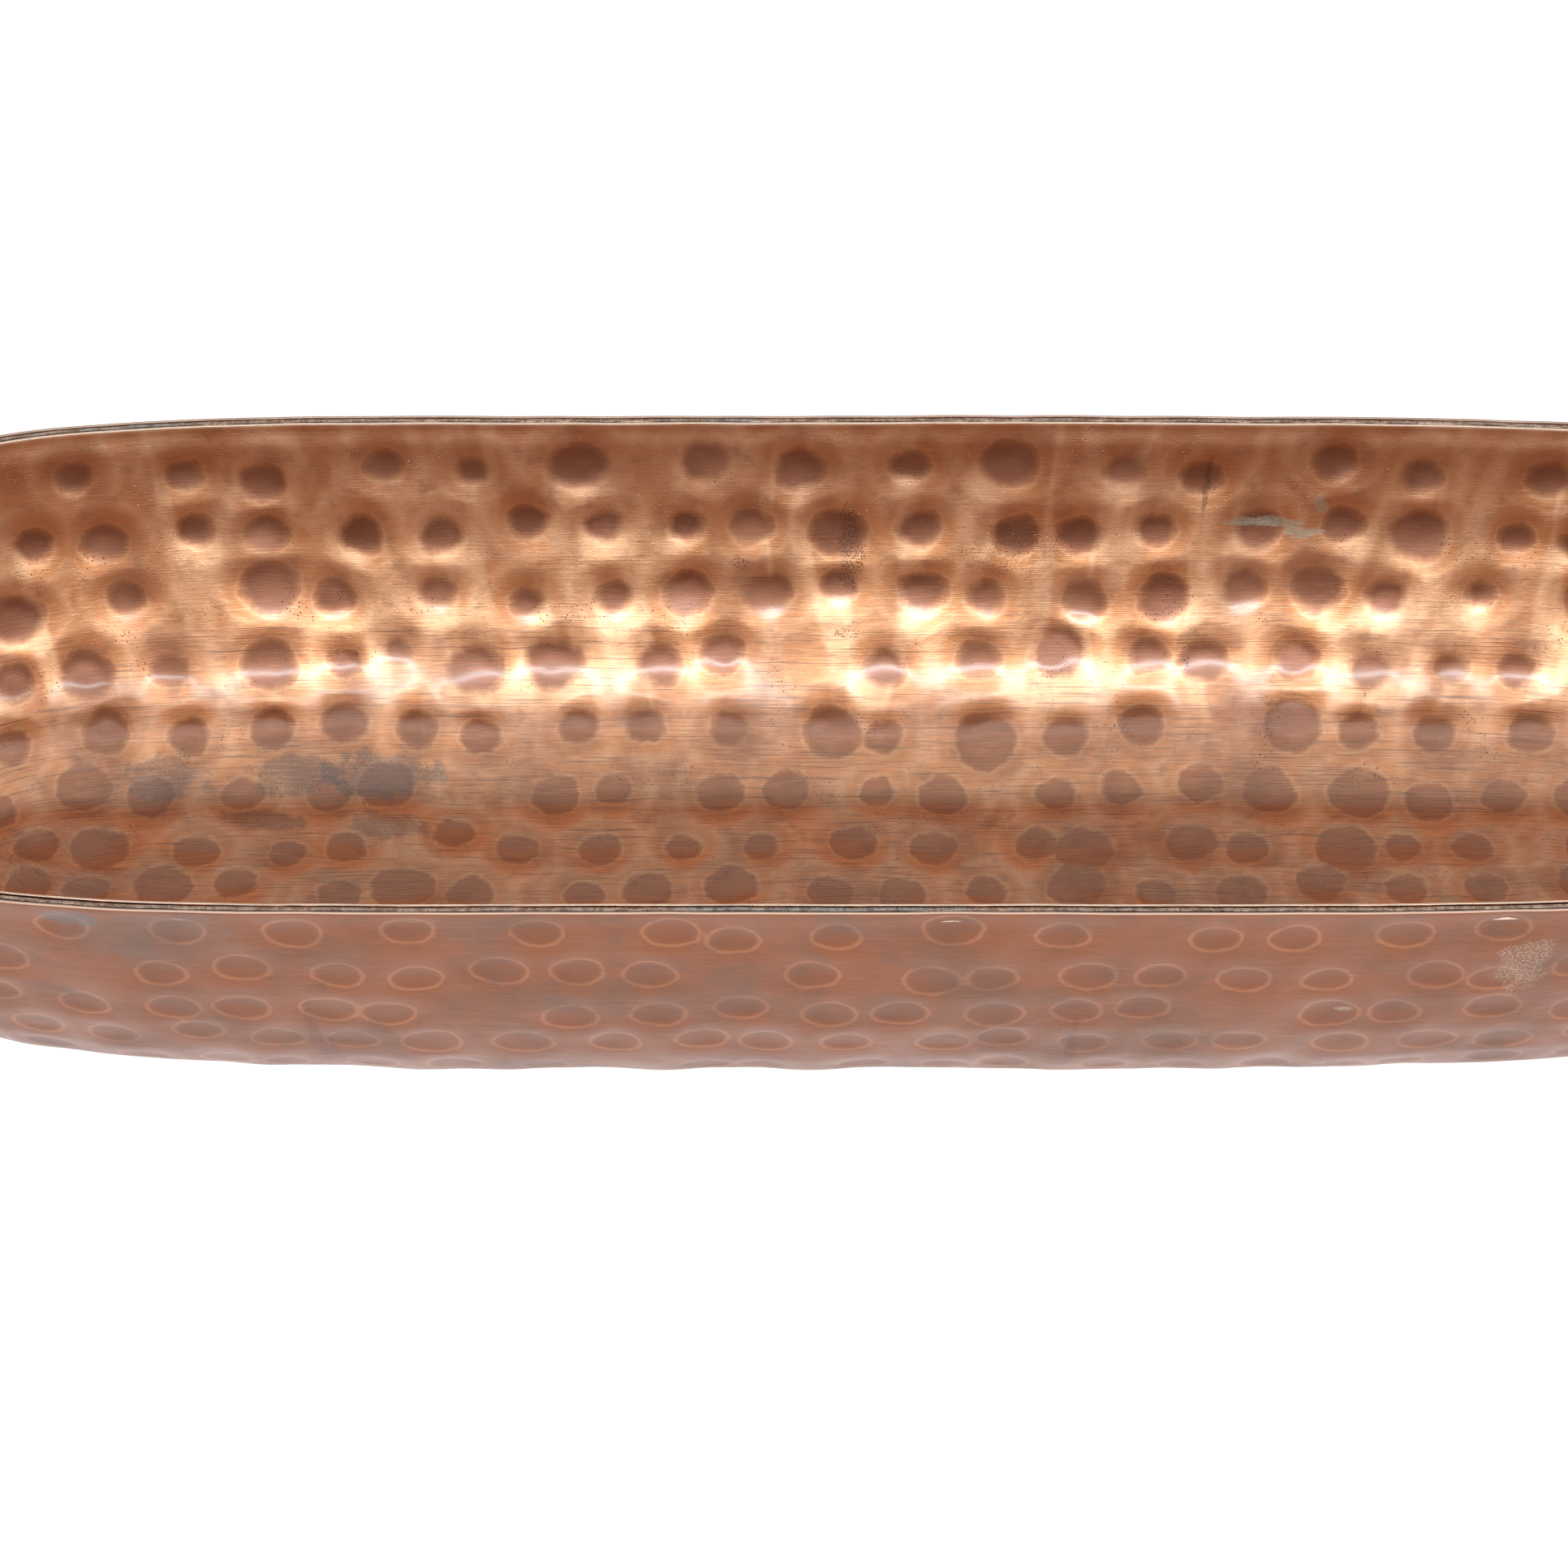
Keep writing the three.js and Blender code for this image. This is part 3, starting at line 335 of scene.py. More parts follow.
def hammered(rings, work, closed_floor, calm):
    """Hammers a skin's face: the basin, with its closed floor, from inside, and the shell from
    outside. calm is 0 where the face stays flat, such as under a fitting.

    Returns the moved rings, the millimetres to the nearest dent's edge, and the metres down
    from the rim.
    """
    rng = np.random.default_rng(work["seed"])
    down = down_lengths(rings)
    normal = outward_normals(rings)
    if closed_floor:
        normal[-1] = STRAIGHT_DOWN
    relief, edge = hammer(rng, rings, dent_places(rng, rings, down, work), work)
    around = np.broadcast_to(AROUND, down.shape)
    swell = SWELL * waves(rng, around, down, 14, 0.12, 0.30, 2.4) * smooth(down, 6 * MM, 70 * MM)
    ripple = RIPPLE * waves(rng, around, down, 20, 0.035, 0.08) * smooth(down, 2 * MM, 20 * MM)
    set_back = DENT_ALLOWANCE * smooth(down, 2 * MM, 30 * MM)
    if closed_floor:
        inward = np.maximum(relief + calm_middle(swell + ripple), -DEEPEST) + set_back
    else:
        inward = 0.5 * set_back - relief - swell - ripple
    rim_share = np.exp(-down / RIM_SWAY_RUN)
    moved = rings - normal * (inward * calm)[:, :, None]
    moved += normal * (RIM_SWAY * rim_share)[:, :, None]
    moved[:, :, 2] += RIM_LIFT * rim_share
    return moved, edge / MM * calm + NO_DENT * (1 - calm), down


# ---------------------------------------------------------------- meshes

def new_object(name, vertices, faces):
    mesh = bpy.data.meshes.new(name)
    mesh.from_pydata([tuple(v) for v in vertices], [], [tuple(f) for f in faces])
    mesh.validate()
    mesh.shade_smooth()
    piece = bpy.data.objects.new(name, mesh)
    bpy.context.scene.collection.objects.link(piece)
    return piece


def band_faces(upper, lower):
    """Quads between two rings of vertex indices of the same length."""
    return [
        (upper[i], upper[(i + 1) % len(upper)], lower[(i + 1) % len(lower)], lower[i])
        for i in range(len(upper))
    ]


def stitch_faces(fine, coarse):
    """Faces between a ring and one with half as many vertices."""
    faces = []
    for i in range(len(coarse)):
        a, b, c = fine[2 * i], fine[2 * i + 1], fine[(2 * i + 2) % len(fine)]
        here, ahead = coarse[i], coarse[(i + 1) % len(coarse)]
        faces += [(a, b, here), (b, ahead, here), (b, c, ahead)]
    return faces


def back_rows(count):
    """The front's rows that the sparser back keeps: every second one, and the last."""
    return [*range(0, count - 1, 2), count - 1]


def sheet_edge(front, normal, turn):
    """Rings that round the sheet's cut edge from its front face over to its back."""
    rings = []
    for angle in (35, 90, 145):
        back = (1 - math.cos(math.radians(angle))) / 2 * SHEET
        out = math.sin(math.radians(angle)) * SHEET * 0.3
        rings.append(front + normal * (back * turn) + np.array([0, 0, out]))
    return rings


def row_ids(rows, width, start=0):
    """The vertex indices of each of a number of rows, stored one after another."""
    return [list(range(start + i * width, start + (i + 1) * width)) for i in range(rows)]


def skin(name, front, edge_mark, down, closed_floor):
    """A sheet with a dense hammered front, a sparser back and a rounded edge along the rim.

    The basin, with its closed floor, has its metal outside its front face, and the shell
    inside.
    """
    turn = 1 if closed_floor else -1
    normal = outward_normals(front)
    if closed_floor:
        normal[-1] = STRAIGHT_DOWN
    edge = sheet_edge(front[0], normal[0], turn)
    rows = back_rows(len(front))
    back = front[rows, ::2] + normal[rows, ::2] * (turn * SHEET)
    rings = [*edge[::-1], *front]
    vertices = [point for ring_points in rings for point in ring_points]
    ids = row_ids(len(rings), COLUMNS)
    start = len(vertices)
    vertices += [point for ring_points in back for point in ring_points]
    back_ids = row_ids(len(back), COLUMNS // 2, start)
    faces = []
    for upper, lower in zip(ids, ids[1:]):
        faces += band_faces(upper, lower)
    for upper, lower in zip(back_ids, back_ids[1:]):
        faces += [face[::-1] for face in band_faces(upper, lower)]
    faces += [face[::-1] for face in stitch_faces(ids[0], back_ids[0])]
    if not closed_floor:
        faces += stitch_faces(ids[-1], back_ids[-1])
    piece = new_object(name, vertices, faces)
    add_edge_mark(piece, edge_mark, len(edge))
    add_wrap(piece, down, len(edge))
    tidy_mesh(piece, closed_floor)
    return piece


def add_edge_mark(piece, grid, edge_rows):
    """Stores the millimetres to the nearest dent's edge at each vertex, for the material."""
    values = np.full(len(piece.data.vertices), NO_DENT, np.float32)
    rim = edge_rows * COLUMNS
    values[:rim] = np.tile(grid[0], edge_rows)
    values[rim:rim + grid.size] = grid.ravel()
    attribute = piece.data.attributes.new("edge", "FLOAT", "POINT")
    attribute.data.foreach_set("value", values)


def add_wrap(piece, down, edge_rows):
    """UVs in metres: along the rim from the middle of the head end, and down from the rim.

    A face that crosses the start carries on past the perimeter.
    """
    front_down = np.concatenate([np.zeros((edge_rows, COLUMNS)), down])
    back_down = down[back_rows(len(down)), ::2]
    along = np.concatenate([
        np.tile(AROUND, len(front_down)), np.tile(AROUND[::2], len(back_down)),
    ])
    v = np.concatenate([front_down.ravel(), back_down.ravel()])
    mesh = piece.data
    corner = np.zeros(len(mesh.loops), np.int64)
    mesh.loops.foreach_get("vertex_index", corner)
    u = along[corner]
    first = np.zeros(len(mesh.polygons), np.int64)
    size = np.zeros(len(mesh.polygons), np.int64)
    mesh.polygons.foreach_get("loop_start", first)
    mesh.polygons.foreach_get("loop_total", size)
    widest = np.maximum.reduceat(u, first)
    wraps = np.repeat(widest > PERIMETER * 0.75, size)
    u = np.where(wraps & (u < PERIMETER * 0.25), u + PERIMETER, u)
    layer = mesh.uv_layers.new(name="wrap")
    layer.data.foreach_set("uv", np.stack([u, v[corner]], axis=1).ravel().astype(np.float32))


def closed_tube(name, loop):
    """A ring-shaped solid from a closed loop of outlines of the same length."""
    vertices = [point for line in loop for point in line]
    ids = row_ids(len(loop), len(loop[0]))
    faces = []
    for i, line in enumerate(ids):
        faces += band_faces(line, ids[(i + 1) % len(ids)])
    piece = new_object(name, vertices, faces)
    tidy_mesh(piece)
    return piece


def tidy_mesh(piece, merge=False):
    """Turns every face outwards, and merges points that coincide if asked to."""
    shape = bmesh.new()
    shape.from_mesh(piece.data)
    if merge:
        bmesh.ops.remove_doubles(shape, verts=shape.verts, dist=0.02 * MM)
    bmesh.ops.recalc_face_normals(shape, faces=shape.faces)
    shape.to_mesh(piece.data)
    shape.free()


def apply_modifiers(piece):
    graph = bpy.context.evaluated_depsgraph_get()
    finished = bpy.data.meshes.new_from_object(piece.evaluated_get(graph), depsgraph=graph)
    piece.modifiers.clear()
    piece.data = finished


def cut(piece, tool, operation="DIFFERENCE"):
    """Cuts the tool out of the piece, or fuses it on, and throws the tool away."""
    modifier = piece.modifiers.new("cut", "BOOLEAN")
    modifier.operation = operation
    modifier.solver = "MANIFOLD"
    modifier.object = tool
    apply_modifiers(piece)
    bpy.data.objects.remove(tool)


def rounded(outline, radius):
    """The closed outline with each corner replaced by a short arc."""
    points = [np.array(point, float) for point in outline]
    soft = []
    for i, corner in enumerate(points):
        before, after = points[i - 1], points[(i + 1) % len(points)]
        if corner[0] < 1e-6:
            soft.append(corner)
            continue
        to_before = before - corner
        to_after = after - corner
        cut_back = min(radius, 0.4 * np.linalg.norm(to_before), 0.4 * np.linalg.norm(to_after))
        start = corner + to_before / np.linalg.norm(to_before) * cut_back
        end = corner + to_after / np.linalg.norm(to_after) * cut_back
        for share in (0, 0.5, 1):
            soft.append((1 - share) ** 2 * start + 2 * share * (1 - share) * corner + share ** 2 * end)
    return soft


def lathe(name, outline, radius=0.4, sides=72):
    """A turned piece about +Z from a closed outline of (radius, z) pairs in millimetres."""
    loop = rounded(outline, radius)
    vertices, rows = [], []
    for r, z in loop:
        on_axis = r < 1e-6
        row = []
        for k in range(1 if on_axis else sides):
            angle = 2 * math.pi * k / sides
            row.append(len(vertices))
            vertices.append((r * MM * math.cos(angle), r * MM * math.sin(angle), z * MM))
        rows.append(row * sides if on_axis else row)
    faces = []
    for i, row in enumerate(rows):
        ahead = rows[(i + 1) % len(rows)]
        if len(set(row)) == 1 and len(set(ahead)) == 1:
            continue
        for face in band_faces(row, ahead):
            corners = list(dict.fromkeys(face))
            if len(corners) > 2:
                faces.append(corners)
    piece = new_object(name, vertices, faces)
    tidy_mesh(piece)
    return piece


def bar(name, low, high, turn=0.0, radius=0.8):
    """A straight bar with softened edges, turned about +Z; corners in millimetres."""
    shape = bmesh.new()
    bmesh.ops.create_cube(shape, size=1)
    size = (Vector(high) - Vector(low)) * MM
    middle = (Vector(high) + Vector(low)) * (MM / 2)
    bmesh.ops.scale(shape, vec=size, verts=shape.verts)
    bmesh.ops.translate(shape, vec=middle, verts=shape.verts)
    bmesh.ops.bevel(
        shape, geom=shape.edges[:], offset=radius * MM, segments=3, affect="EDGES", profile=0.5,
    )
    bmesh.ops.rotate(shape, cent=(0, 0, 0), matrix=Matrix.Rotation(turn, 3, "Z"), verts=shape.verts)
    mesh = bpy.data.meshes.new(name)
    shape.to_mesh(mesh)
    shape.free()
    piece = bpy.data.objects.new(name, mesh)
    bpy.context.scene.collection.objects.link(piece)
    return piece


def sharpen(piece, degrees=35):
    piece.data.shade_smooth()
    piece.data.set_sharp_from_angle(angle=math.radians(degrees))


def settle_in(piece, body, slot, nodes):
    """Gives a finished piece its body, slot and finish, and the CAD nodes it replaces."""
    piece.data.materials.clear()
    piece.data.materials.append(MATERIALS[slot])
    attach(piece, body)
    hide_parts(*nodes)


# ---------------------------------------------------------------- finishes

class Finish:
    """A Principled material, and short calls that each add a node or a few to it."""

    def __init__(self, name, metallic=0.0):
        self.material = bpy.data.materials.new(name)
        self.material.use_nodes = True
        self.tree = self.material.node_tree
        self.shader = self.tree.nodes["Principled BSDF"]
        self.shader.inputs["Metallic"].default_value = metallic
        self.shader.inputs["IOR"].default_value = 1.5

    def lacquer(self, weight, roughness):
        """A clear dull coat, which gives highlights a white haze."""
        self.shader.inputs["Coat Weight"].default_value = weight
        self.shader.inputs["Coat Roughness"].default_value = roughness
        self.shader.inputs["Coat IOR"].default_value = 1.6

    def feed(self, socket, value):
        if isinstance(value, bpy.types.NodeSocket):
            self.tree.links.new(value, socket)
        else:
            socket.default_value = value

    def node(self, kind, **settings):
        made = self.tree.nodes.new(kind)
        for key, value in settings.items():
            setattr(made, key, value)
        return made

    def math(self, operation, a, b=0.0):
        made = self.node("ShaderNodeMath", operation=operation)
        self.feed(made.inputs[0], a)
        self.feed(made.inputs[1], b)
        return made.outputs[0]

    def plus(self, a, b):
        return self.math("ADD", a, b)

    def times(self, a, b):
        return self.math("MULTIPLY", a, b)

    def weighted(self, *parts):
        """The sum of (value, weight) pairs."""
        total = 0.0
        for value, weight in parts:
            total = self.plus(total, self.times(value, weight))
        return total

    def peak(self, value, centre, flat, width):
        """1 within flat of the centre, and 0 farther than width from it."""
        distance = self.math("ABSOLUTE", self.math("SUBTRACT", value, centre))
        return self.fade(distance, flat, width, 1.0, 0.0)

    def fade(self, value, low, high, start=0.0, end=1.0):
        """start below low, end above high, and a smooth run between them."""
        made = self.node("ShaderNodeMapRange", interpolation_type="SMOOTHSTEP")
        for name, number in zip(("Value", "From Min", "From Max", "To Min", "To Max"),
                                (value, low, high, start, end)):
            self.feed(made.inputs[name], number)
        return made.outputs["Result"]

    def mix(self, share, a, b):
        """Colour a, with the given share of colour b over it."""
        made = self.node("ShaderNodeMix", data_type="RGBA")
        self.feed(made.inputs["Factor"], share)
        self.feed(made.inputs[6], a if isinstance(a, bpy.types.NodeSocket) else (*a, 1))
        self.feed(made.inputs[7], b if isinstance(b, bpy.types.NodeSocket) else (*b, 1))
        return made.outputs[2]

    def stretch(self, coordinates, scale):
        made = self.node("ShaderNodeVectorMath", operation="MULTIPLY")
        self.feed(made.inputs[0], coordinates)
        made.inputs[1].default_value = scale
        return made.outputs[0]

    def noise(self, coordinates, scale, detail=3.0, roughness=0.55, distortion=0.0):
        made = self.node("ShaderNodeTexNoise")
        self.feed(made.inputs["Vector"], coordinates)
        made.inputs["Scale"].default_value = scale
        made.inputs["Detail"].default_value = detail
        made.inputs["Roughness"].default_value = roughness
        made.inputs["Distortion"].default_value = distortion
        return made.outputs["Fac"]

    def cells(self, coordinates, scale):
        """Distance to the nearest of scattered points."""
        made = self.node("ShaderNodeTexVoronoi")
        self.feed(made.inputs["Vector"], coordinates)
        made.inputs["Scale"].default_value = scale
        return made.outputs["Distance"]

    def mark(self, name):
        return self.node("ShaderNodeAttribute", attribute_name=name).outputs["Fac"]

    def place(self):
        return self.node("ShaderNodeTexCoord").outputs["Object"]

    def wrap(self):
        return self.node("ShaderNodeUVMap", uv_map="wrap").outputs["UV"]

    def down(self, wrap):
        """Metres down from the rim along the sheet."""
        parts = self.node("ShaderNodeSeparateXYZ")
        self.feed(parts.inputs[0], wrap)
        return parts.outputs["Y"]

    def spot(self, wrap, centre, reach, ragged):
        """1 inside an oval patch of the sheet, with an uneven border; metres along and down."""
        moved = self.node("ShaderNodeVectorMath", operation="SUBTRACT")
        self.feed(moved.inputs[0], wrap)
        moved.inputs[1].default_value = (*centre, 0)
        sized = self.stretch(moved.outputs[0], (1 / reach[0], 1 / reach[1], 0))
        length = self.node("ShaderNodeVectorMath", operation="LENGTH")
        self.feed(length.inputs[0], sized)
        uneven = self.plus(length.outputs["Value"], ragged)
        return self.fade(uneven, 0.75, 1.2, 1.0, 0.0)

    def surface(self, color, roughness, height, depth):
        """Connects the colour, the roughness and a bump of the given depth in metres."""
        self.feed(self.shader.inputs["Base Color"], color)
        self.feed(self.shader.inputs["Roughness"], roughness)
        bump = self.node("ShaderNodeBump")
        self.feed(bump.inputs["Height"], height)
        bump.inputs["Distance"].default_value = depth
        bump.inputs["Strength"].default_value = 1.0
        self.feed(self.shader.inputs["Normal"], bump.outputs["Normal"])
        return self.material


def burnish_and_painted_light(f, look, wrap, down, blotches):
    """The bright raised metal and the brown dents, whose patina is deepened by painted shade,
    with painted highlights on the crests, the lips and the veins.

    Returns the colour, the mask of bright raised metal (burnish, and no painted shade), and the crests.
    """
    unevenness = f.fade(blotches, 0.3, 0.7, -look["ragged"], look["ragged"])
    edge = f.plus(f.mark("edge"), unevenness)
    # This mask is 1 on the raised metal and 0 in the dents; the dents' darker colour is their brown patina
    # deepened by painted shade.
    burnish_and_shade = f.fade(edge, look["dent_from"], look["dent_to"])
    burnish_and_shade = f.math("MAXIMUM", burnish_and_shade, f.fade(down, 0.28, 0.42, 0.0, look["rubbed_low"]))
    color = f.mix(burnish_and_shade, look["dent"], look["ridge"])
    # Veins: painted highlights along the raised metal between the dents, on the upper walls.
    veins = f.noise(f.stretch(wrap, (8.0, 2.2, 1)), 1.0, 3, 0.5, 0.4)
    vein_highlight = f.times(f.peak(veins, 0.5, 0.0, 0.07), f.times(burnish_and_shade, look["vein_highlight_share"]))
    vein_highlight = f.times(vein_highlight, f.fade(down, 0.30, 0.38, 1.0, 0.0))
    color = f.mix(vein_highlight, color, look["crest"])
    # Crests: a painted highlight where the metal between the dents stands highest.
    crest = f.peak(edge, look["crest_at"], 0.0, look["crest_width"])
    color = f.mix(f.times(crest, look["crest_highlight_share"]), color, look["crest"])
    # Lips: a painted highlight ring just outside each dent's edge.
    lip_highlight = f.peak(edge, 0.8, 0.5, 3.6)
    color = f.mix(f.times(lip_highlight, look["lip_highlight_share"]), color, look["crest"])
    return color, burnish_and_shade, crest


def browned_and_rim_shaded(f, look, color, down, clouds, blotches):
    """Adds darker clouds, painted shade below the rim and stained blotches."""
    cloud = f.fade(clouds, 0.42, 0.72, 0.0, look["cloud_share"])
    # Painted shade: the walls are darkened just below the rim, with the cloud colour.
    painted_rim_shade = f.fade(down, 0.02, 0.15, look["painted_rim_shade"], 0.0)
    color = f.mix(f.math("MAXIMUM", cloud, painted_rim_shade), color, look["cloud"])
    return f.mix(f.fade(blotches, 0.5, 0.75, 0.0, look["stain_share"]), color, look["stain"])


def brushed(f, look, color, wrap, down, clouds, burnish_and_shade):
    """Adds bright brush marks along the tub, and dark rubs low on the walls and on the floor.

    Returns the colour and the brush marks.
    """
    long_scratch = f.noise(f.stretch(wrap, (5, 520, 1)), 1.0, 3, 0.7)
    short_scratch = f.noise(f.stretch(wrap, (34, 900, 1)), 1.0, 2, 0.7)
    scratch = f.fade(f.plus(long_scratch, short_scratch), 0.95, 1.22)
    share = f.times(scratch, f.fade(burnish_and_shade, 0.0, 1.0, *look["scratch"]))
    color = f.mix(share, color, look["crest"])
    worn = f.fade(f.plus(down, f.fade(clouds, 0.3, 0.7, -0.05, 0.05)), 0.18, 0.27)
    rubs = f.noise(f.stretch(wrap, (13, 640, 1)), 1.0, 4, 0.7, 0.2)
    line = f.fade(f.plus(long_scratch, rubs), 1.00, 1.22)
    line = f.times(line, f.times(worn, look["line_share"]))
    return f.mix(line, color, look["stain"]), scratch


def pitted(f, look, color, wrap):
    """Adds clusters of small dark pits. Returns the colour and the pits."""
    pit = f.fade(f.cells(wrap, 210), 0.10, 0.22, 1.0, 0.0)
    pit = f.times(pit, f.fade(f.noise(wrap, 16, 2), 0.52, 0.66))
    return f.mix(f.times(pit, look["pit_share"]), color, look["pit"]), pit


def spotted(f, look, color, wrap, blotches, grain):
    """Adds the stains that have a place of their own."""
    ragged = f.fade(blotches, 0.2, 0.8, -0.55, 0.55)
    for centre, reach, (least, most), tint in look["spots"]:
        patch = f.spot(wrap, centre, reach, ragged)
        patch = f.times(patch, f.fade(grain, 0.47, 0.60, least, most))
        color = f.mix(patch, color, tint)
    return color


def copper_sheet(name, look):
    """Hammered, brushed and partly browned copper, with painted shade and painted highlights; look holds the
    colours and amounts.
    """
    f = Finish(name, metallic=1.0)
    f.lacquer(look["coat"], look["coat_roughness"])
    wrap = f.wrap()
    down = f.down(wrap)
    clouds = f.noise(wrap, 9, 4, 0.6)
    blotches = f.noise(wrap, 34, 4, 0.65)
    grain = f.noise(wrap, 420, 3, 0.6)
    cross_scratch = f.noise(f.stretch(wrap, (300, 14, 1)), 1.0, 2, 0.6)
    # Patina in the dents deepened by painted shade, with painted highlights on the crests, lips and veins.
    color, burnish_and_shade, crest = burnish_and_painted_light(f, look, wrap, down, blotches)
    color = browned_and_rim_shaded(f, look, color, down, clouds, blotches)
    color, scratch = brushed(f, look, color, wrap, down, clouds, burnish_and_shade)
    color, pit = pitted(f, look, color, wrap)
    color = spotted(f, look, color, wrap, blotches, grain)
    # The sheet's cut edge along the rim: bright polished metal, brightened further as a painted highlight.
    color = f.mix(f.fade(down, 0.6 * MM, 2.5 * MM, 0.9, 0.0), color, look["cut_edge"])
    roughness = f.fade(burnish_and_shade, 0.0, 1.0, look["rough_dent"], look["rough_ridge"])
    roughness = f.plus(roughness, f.fade(clouds, 0.3, 0.7, -0.05, 0.07))
    roughness = f.plus(roughness, f.fade(scratch, 0.0, 1.0, 0.03, -0.05))
    height = f.weighted(
        (crest, look["crest_height"]), (scratch, look["scratch_height"]), (grain, 0.05),
        (cross_scratch, 0.03), (pit, -0.25),
    )
    return f.surface(color, roughness, height, 0.9 * MM)


def far_side(x, down):
    """Where a point of the far (+Y) wall lies on the wrap."""
    return 0.75 * PERIMETER - x, down


def near_side(x, down):
    """Where a point of the near (-Y) wall lies on the wrap."""
    return 0.25 * PERIMETER + x, down


VERDIGRIS = (0.58, 0.60, 0.50)
SOOT = (0.10, 0.05, 0.034)
SLATE = (0.13, 0.125, 0.12)
RUST = (0.15, 0.045, 0.026)

# Each stain: its centre, its half-width and half-height in metres, the least and most of
# its colour that shows through its grain, and that colour.
BASIN_STAINS = [
    (far_side(0.455, 0.120), (0.048, 0.006), (0.45, 0.9), VERDIGRIS),
    (far_side(0.500, 0.132), (0.020, 0.006), (0.40, 0.9), VERDIGRIS),
    (far_side(0.516, 0.098), (0.010, 0.011), (0.35, 0.8), VERDIGRIS),
    (far_side(0.389, 0.080), (0.0035, 0.038), (0.30, 0.8), SOOT),
    (far_side(0.003, 0.150), (0.014, 0.048), (0.0, 0.85), SOOT),
    (far_side(0.000, 0.245), (0.016, 0.007), (0.0, 0.8), SOOT),
    (far_side(-0.120, 0.165), (0.010, 0.008), (0.0, 0.7), SOOT),
    (far_side(0.180, 0.150), (0.060, 0.030), (0.0, 0.35), SOOT),
    (far_side(-0.790, 0.400), (0.045, 0.026), (0.35, 0.6), SLATE),
    (far_side(-0.640, 0.400), (0.050, 0.022), (0.35, 0.6), SLATE),
    (far_side(-0.540, 0.405), (0.060, 0.028), (0.40, 0.7), SLATE),
    (far_side(-0.690, 0.462), (0.050, 0.018), (0.35, 0.6), SLATE),
    (far_side(-0.550, 0.470), (0.045, 0.018), (0.35, 0.6), SLATE),
]
SHELL_STAINS = [
    (near_side(-0.765, 0.026), (0.030, 0.016), (0.45, 0.7), SLATE),
    (near_side(-0.690, 0.055), (0.090, 0.045), (0.20, 0.4), SLATE),
    (near_side(-0.554, 0.270), (0.008, 0.070), (0.40, 0.7), RUST),
    (near_side(-0.541, 0.310), (0.004, 0.050), (0.30, 0.6), RUST),
    (near_side(0.227, 0.290), (0.006, 0.065), (0.40, 0.7), RUST),
    (near_side(0.220, 0.262), (0.120, 0.055), (0.0, 0.6), SOOT),
    (near_side(0.496, 0.200), (0.008, 0.004), (0.10, 0.5), VERDIGRIS),
    (near_side(0.662, 0.105), (0.026, 0.045), (0.0, 0.32), VERDIGRIS),
]

# In these looks, "dent" under the dent mask paints shade over the dents' patina; "crest" paints the highlights on
# crests, lips and veins, and the bright scratches; "cloud" also paints the shade below the rim; "cut_edge" is
# partly a painted highlight.
BASIN_LOOK = {
    "ridge": (0.73, 0.315, 0.138), "dent": (0.29, 0.115, 0.066), "crest": (1.0, 0.58, 0.33),
    "cloud": (0.40, 0.18, 0.10), "stain": (0.24, 0.125, 0.085), "pit": (0.07, 0.04, 0.03),
    "ragged": 3.0, "dent_from": -12.0, "dent_to": 6.0, "crest_at": 22.0, "crest_width": 14.0,
    "crest_highlight_share": 0.45, "cloud_share": 0.7, "stain_share": 0.45, "pit_share": 0.8,
    "lip_highlight_share": 0.30, "line_share": 0.8, "scratch": (0.05, 0.34), "rubbed_low": 0.42,
    "rough_dent": 0.36, "rough_ridge": 0.34, "crest_height": 0.2, "scratch_height": 0.03,
    "coat": 0.8, "coat_roughness": 0.16, "vein_highlight_share": 0.85, "cut_edge": (0.95, 0.72, 0.55),
    "painted_rim_shade": 0.45, "spots": BASIN_STAINS,
}
SHELL_LOOK = {
    "ridge": (0.236, 0.078, 0.031), "dent": (0.224, 0.074, 0.030), "crest": (0.48, 0.19, 0.09),
    "cloud": (0.155, 0.080, 0.052), "stain": (0.12, 0.072, 0.056), "pit": (0.07, 0.045, 0.035),
    "ragged": 1.2, "dent_from": -9.0, "dent_to": 3.0, "crest_at": 0.5, "crest_width": 4.0,
    "crest_highlight_share": 0.0, "cloud_share": 0.65, "stain_share": 0.4, "pit_share": 0.5,
    "lip_highlight_share": 0.42, "line_share": 0.15, "scratch": (0.04, 0.16), "rubbed_low": 0.0,
    "rough_dent": 0.40, "rough_ridge": 0.36, "crest_height": 0.1, "scratch_height": 0.02,
    "coat": 0.15, "coat_roughness": 0.3, "vein_highlight_share": 0.0, "cut_edge": (0.66, 0.46, 0.35),
    "painted_rim_shade": 0.0, "spots": SHELL_STAINS,
}


def plain_metal(name, color, worn, roughness):
    """Machined or plated metal: fine grain, smears and dull patches."""
    f = Finish(name, metallic=1.0)
    place = f.place()
    clouds = f.noise(place, 28, 4, 0.6)
    grain = f.noise(place, 900, 3, 0.6)
    tint = f.mix(f.fade(clouds, 0.4, 0.7), color, worn)
    dullness = f.fade(clouds, 0.3, 0.7, roughness - 0.06, roughness + 0.10)
    rough = f.plus(dullness, f.fade(grain, 0.3, 0.7, -0.04, 0.04))
    return f.surface(tint, rough, grain, 0.12 * MM)


